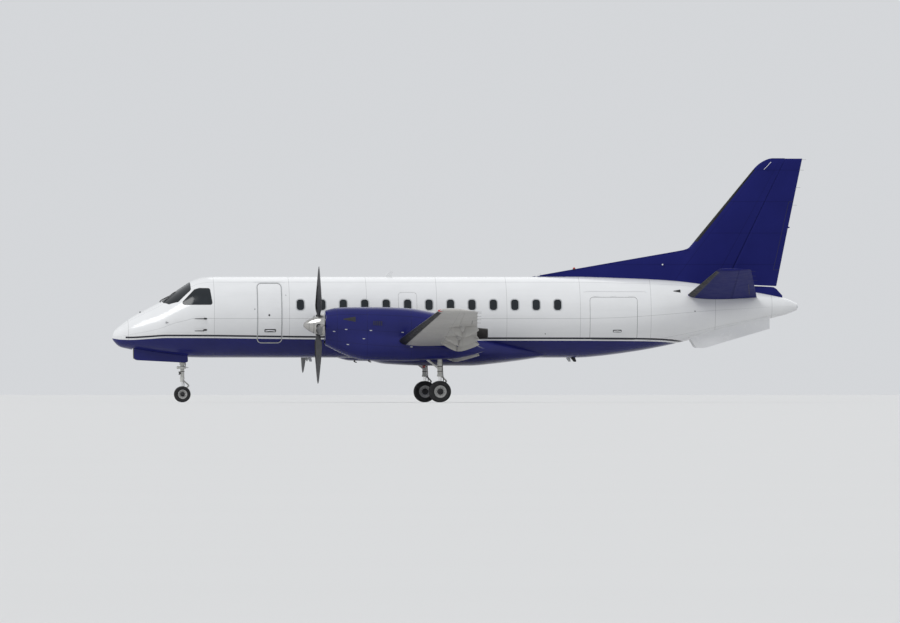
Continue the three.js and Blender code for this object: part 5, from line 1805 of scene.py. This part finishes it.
gearDoors = {
    "corners": [[0.6, -0.7], [2.14, -0.9], [2.15, -1.275], [2.08, -1.3], [0.7, -1.23], [0.61, -1.18]],
    "radii": [0.01, 0.01, 0.03, 0.04, 0.05, 0.03], "faces": (0.236, 0.258),
    "ribs": (0.85, 1.25, 1.65, 2.0), "links": (0.95, 1.75),
}


def noseGearDoors():
    # navy plates, primed inside, with four ribs and two links to the bay
    outline = roundedOutline(gearDoors["corners"], gearDoors["radii"], 4)
    for name, side in sides.items():
        shape = Shape()
        shape.plate(outline, sidePlace(side), *gearDoors["faces"], np.array([[1], [0], [0]]))
        for x in gearDoors["ribs"]:
            rib = boxOutline(x - 0.02, x + 0.02, -0.8 - 0.12 * (x - 0.85), -1.19, 0.008, 3)
            shape.plate(rib, sidePlace(side), 0.222, 0.237, 1, 0.003)
        for x in gearDoors["links"]:
            path = [[x, side * 0.222, -1.0], [x + 0.01, side * 0.17, -0.92], [x + 0.02, side * 0.12, -0.79]]
            shape.tube(path, 0.012, 2, 10, 5)
        piece = shape.build(f"nose_gear_door_{name}_skin", "navy bay gear")
        fit(piece, "airframe", "navy_skin", f"nose_gear_door_{name}")


# All the finishes

tailJoints, wingJoints = ([0.22, 0.95], [1.5, 2.4, 3.3, 4.2]), ([0.19, 1.05], [2.9, 3.85, 5.2, 6.6, 8.1, 9.4])
cowlJoints = ([6.2, 7.05, 8.3, 9.5], [0.21, 0.55, 1.2])
finishes = {
    "hull": hullPaint(),
    "navy": paint("navy_paint", colours["navy"], variation=0.1, roughness=0.22, coat=0.06, specular=0.2,
                  dust=0.12),
    "tail": paint("tail_paint", colours["navy"], tailJoints, (0.475, 0.5), 0.5, 0.06, 0.03, 0.0, 0.05),
    "cowling": paint("cowling_paint", colours["navy"], cowlJoints, (0.425, 0), 0.2, 0.1, 0.14, 0.06, 0.2),
    "white": paint("white_paint", colours["white"], variation=0.03),
    "wing": paint("wing_grey_paint", colours["wing"], wingJoints, (0.43, 0.35), 0.36, 0.05, 0.3, 0.1, 0.4),
    "lens": plain("clear_lens", (0.72, 0.74, 0.76), 0.06, coat=1.0, variation=0.1, scale=20),
    "redLens": plain("red_lens", (0.42, 0.008, 0.006), 0.08, coat=1.0, scale=20),
    "greenLens": plain("green_lens", (0.006, 0.26, 0.05), 0.08, coat=1.0, scale=20),
    "brake": plain("brake_stack", (0.05, 0.045, 0.042), 0.55, 0.7, variation=0.3, grime=0.3),
    "hose": plain("hydraulic_hose", (0.02, 0.02, 0.021), 0.5),
    "boot": plain("boot_rubber", colours["boot"], 0.42, scale=5, grain=0.1, specular=0.15),
    "seal": plain("window_seal", (0.03, 0.03, 0.032), 0.6),
    "glass": plain("dark_glass", (0.012, 0.016, 0.02), 0.13, variation=0.3, scale=2, specular=0.35),
    "rim": plain("pressed_rim", (0.52, 0.53, 0.54), 0.35, 0.35),
    # the spinner's metal is darker than polished metal: a painted reflection of darker ground than the pale
    # studio floor
    "spinner": plain("polished_spinner", (0.5, 0.49, 0.47), 0.2, 1.0, variation=0.06, scale=6),
    "blade": plain("blade_paint", colours["blade"], 0.42, variation=0.25, scale=9, grime=0.1),
    "gear": plain("gear_paint", colours["gear"], 0.4, variation=0.05, grime=0.55),
    "chrome": plain("piston_chrome", (0.8, 0.8, 0.8), 0.08, 1.0, variation=0.03),
    "hub": plain("wheel_paint", colours["hub"], 0.42, 0.15, variation=0.06, grime=0.5),
    "tyre": plain("tyre_rubber", (0.016, 0.016, 0.017), 0.78, variation=0.3, scale=9, grain=0.25),
    "exhaust": plain("heated_steel", (0.03, 0.028, 0.027), 0.45, 0.8, variation=0.35, scale=7),
    "bay": plain("bay_primer", colours["primer"], 0.55, variation=0.12, grime=0.6),
    "dark": plain("dark_steel", (0.04, 0.04, 0.042), 0.5, 0.6),
    "cast": plain("cast_metal", (0.15, 0.15, 0.155), 0.55, 0.8, grime=0.4),
}


print("fuselage")
hullSkin()
cockpitGlass()
cabinGlass()
fuselageFittings()
doorPanels()
print("wings and tail")
wings()
tailplanes()
tail()
ventralStrakes()
print("nacelles and propellers")
nacelles()
bellyFairing()
propellers()
print("landing gear")
noseGear()
mainGear()
noseGearDoors()
for name in ("engine_left", "engine_right"):
    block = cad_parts[name]
    block.material_slots[0].material = finishes["cast"].material


# Studio

studio = {
    "azimuth": -3.75, "eye": 0.3, "distance": 600.0, "target": (-0.216, 0.0, 2.59),
    "pixelsPerMetre": 35.05, "imageWidth": 900, "clip": 4000,
    "sky": (0.92, 0.94, 0.97), "skyStrength": 0.72,
    "floor": (0.64, 0.64, 0.635), "floorRadius": 1500.0, "floorPoints": 96,
    # direction of the light, strength and the angle it spreads over
    "suns": {"key": ((0.75, 0.48, -0.95), 1.3, 28), "rim": ((-0.5, -0.7, -0.55), 0.5, 60)},
}


def aim(piece, direction):
    # turns a lamp or the camera to look along a direction
    piece.rotation_euler = mathutils.Vector(direction).to_track_quat("-Z", "Y").to_euler()


def stage():
    # a pale floor that reaches far past the aircraft, soft lamps and an even pale sky
    scene, count = bpy.context.scene, studio["floorPoints"]
    angle = turn * np.arange(count) / count
    points = studio["floorRadius"] * pointsOf(np.cos(angle), np.sin(angle), 0.0) - [0, 0, 0.001]
    mesh = bpy.data.meshes.new("floor")
    mesh.from_pydata(points.tolist(), [], [list(range(count))])
    made = Finish("floor_plaster", studio["floor"], 0.7)
    made.set("Base Color", made.vary(studio["floor"], 0.004, 0.3, 3))
    mesh.materials.append(made.material)
    placed("floor", mesh)
    scene.world = bpy.data.worlds.new("studio_sky")
    scene.world.use_nodes = True
    sky = scene.world.node_tree.nodes["Background"].inputs
    sky["Color"].default_value, sky["Strength"].default_value = (*studio["sky"], 1), studio["skyStrength"]
    scene.view_settings.view_transform = "Standard"
    for name, (direction, strength, spread) in studio["suns"].items():
        light = bpy.data.lights.new(name, "SUN")
        light.energy, light.angle = strength, math.radians(spread)
        aim(placed(name, light), direction)


def camera():
    # far away with a long lens, because the photograph is nearly parallel
    angle = math.radians(studio["azimuth"])
    target = np.array(studio["target"])
    away = studio["distance"]
    rise = studio["eye"] - target[2]
    flat = math.sqrt(away ** 2 - rise ** 2)
    eye = target + [math.sin(angle) * flat, -math.cos(angle) * flat, rise]
    lens = bpy.data.cameras.new("camera")
    lens.lens = lens.sensor_width * studio["pixelsPerMetre"] * away / studio["imageWidth"]
    lens.clip_end = studio["clip"]
    holder = placed("camera", lens)
    holder.location = eye
    aim(holder, target - eye)
    bpy.context.scene.camera = holder


print("studio")
stage()
camera()
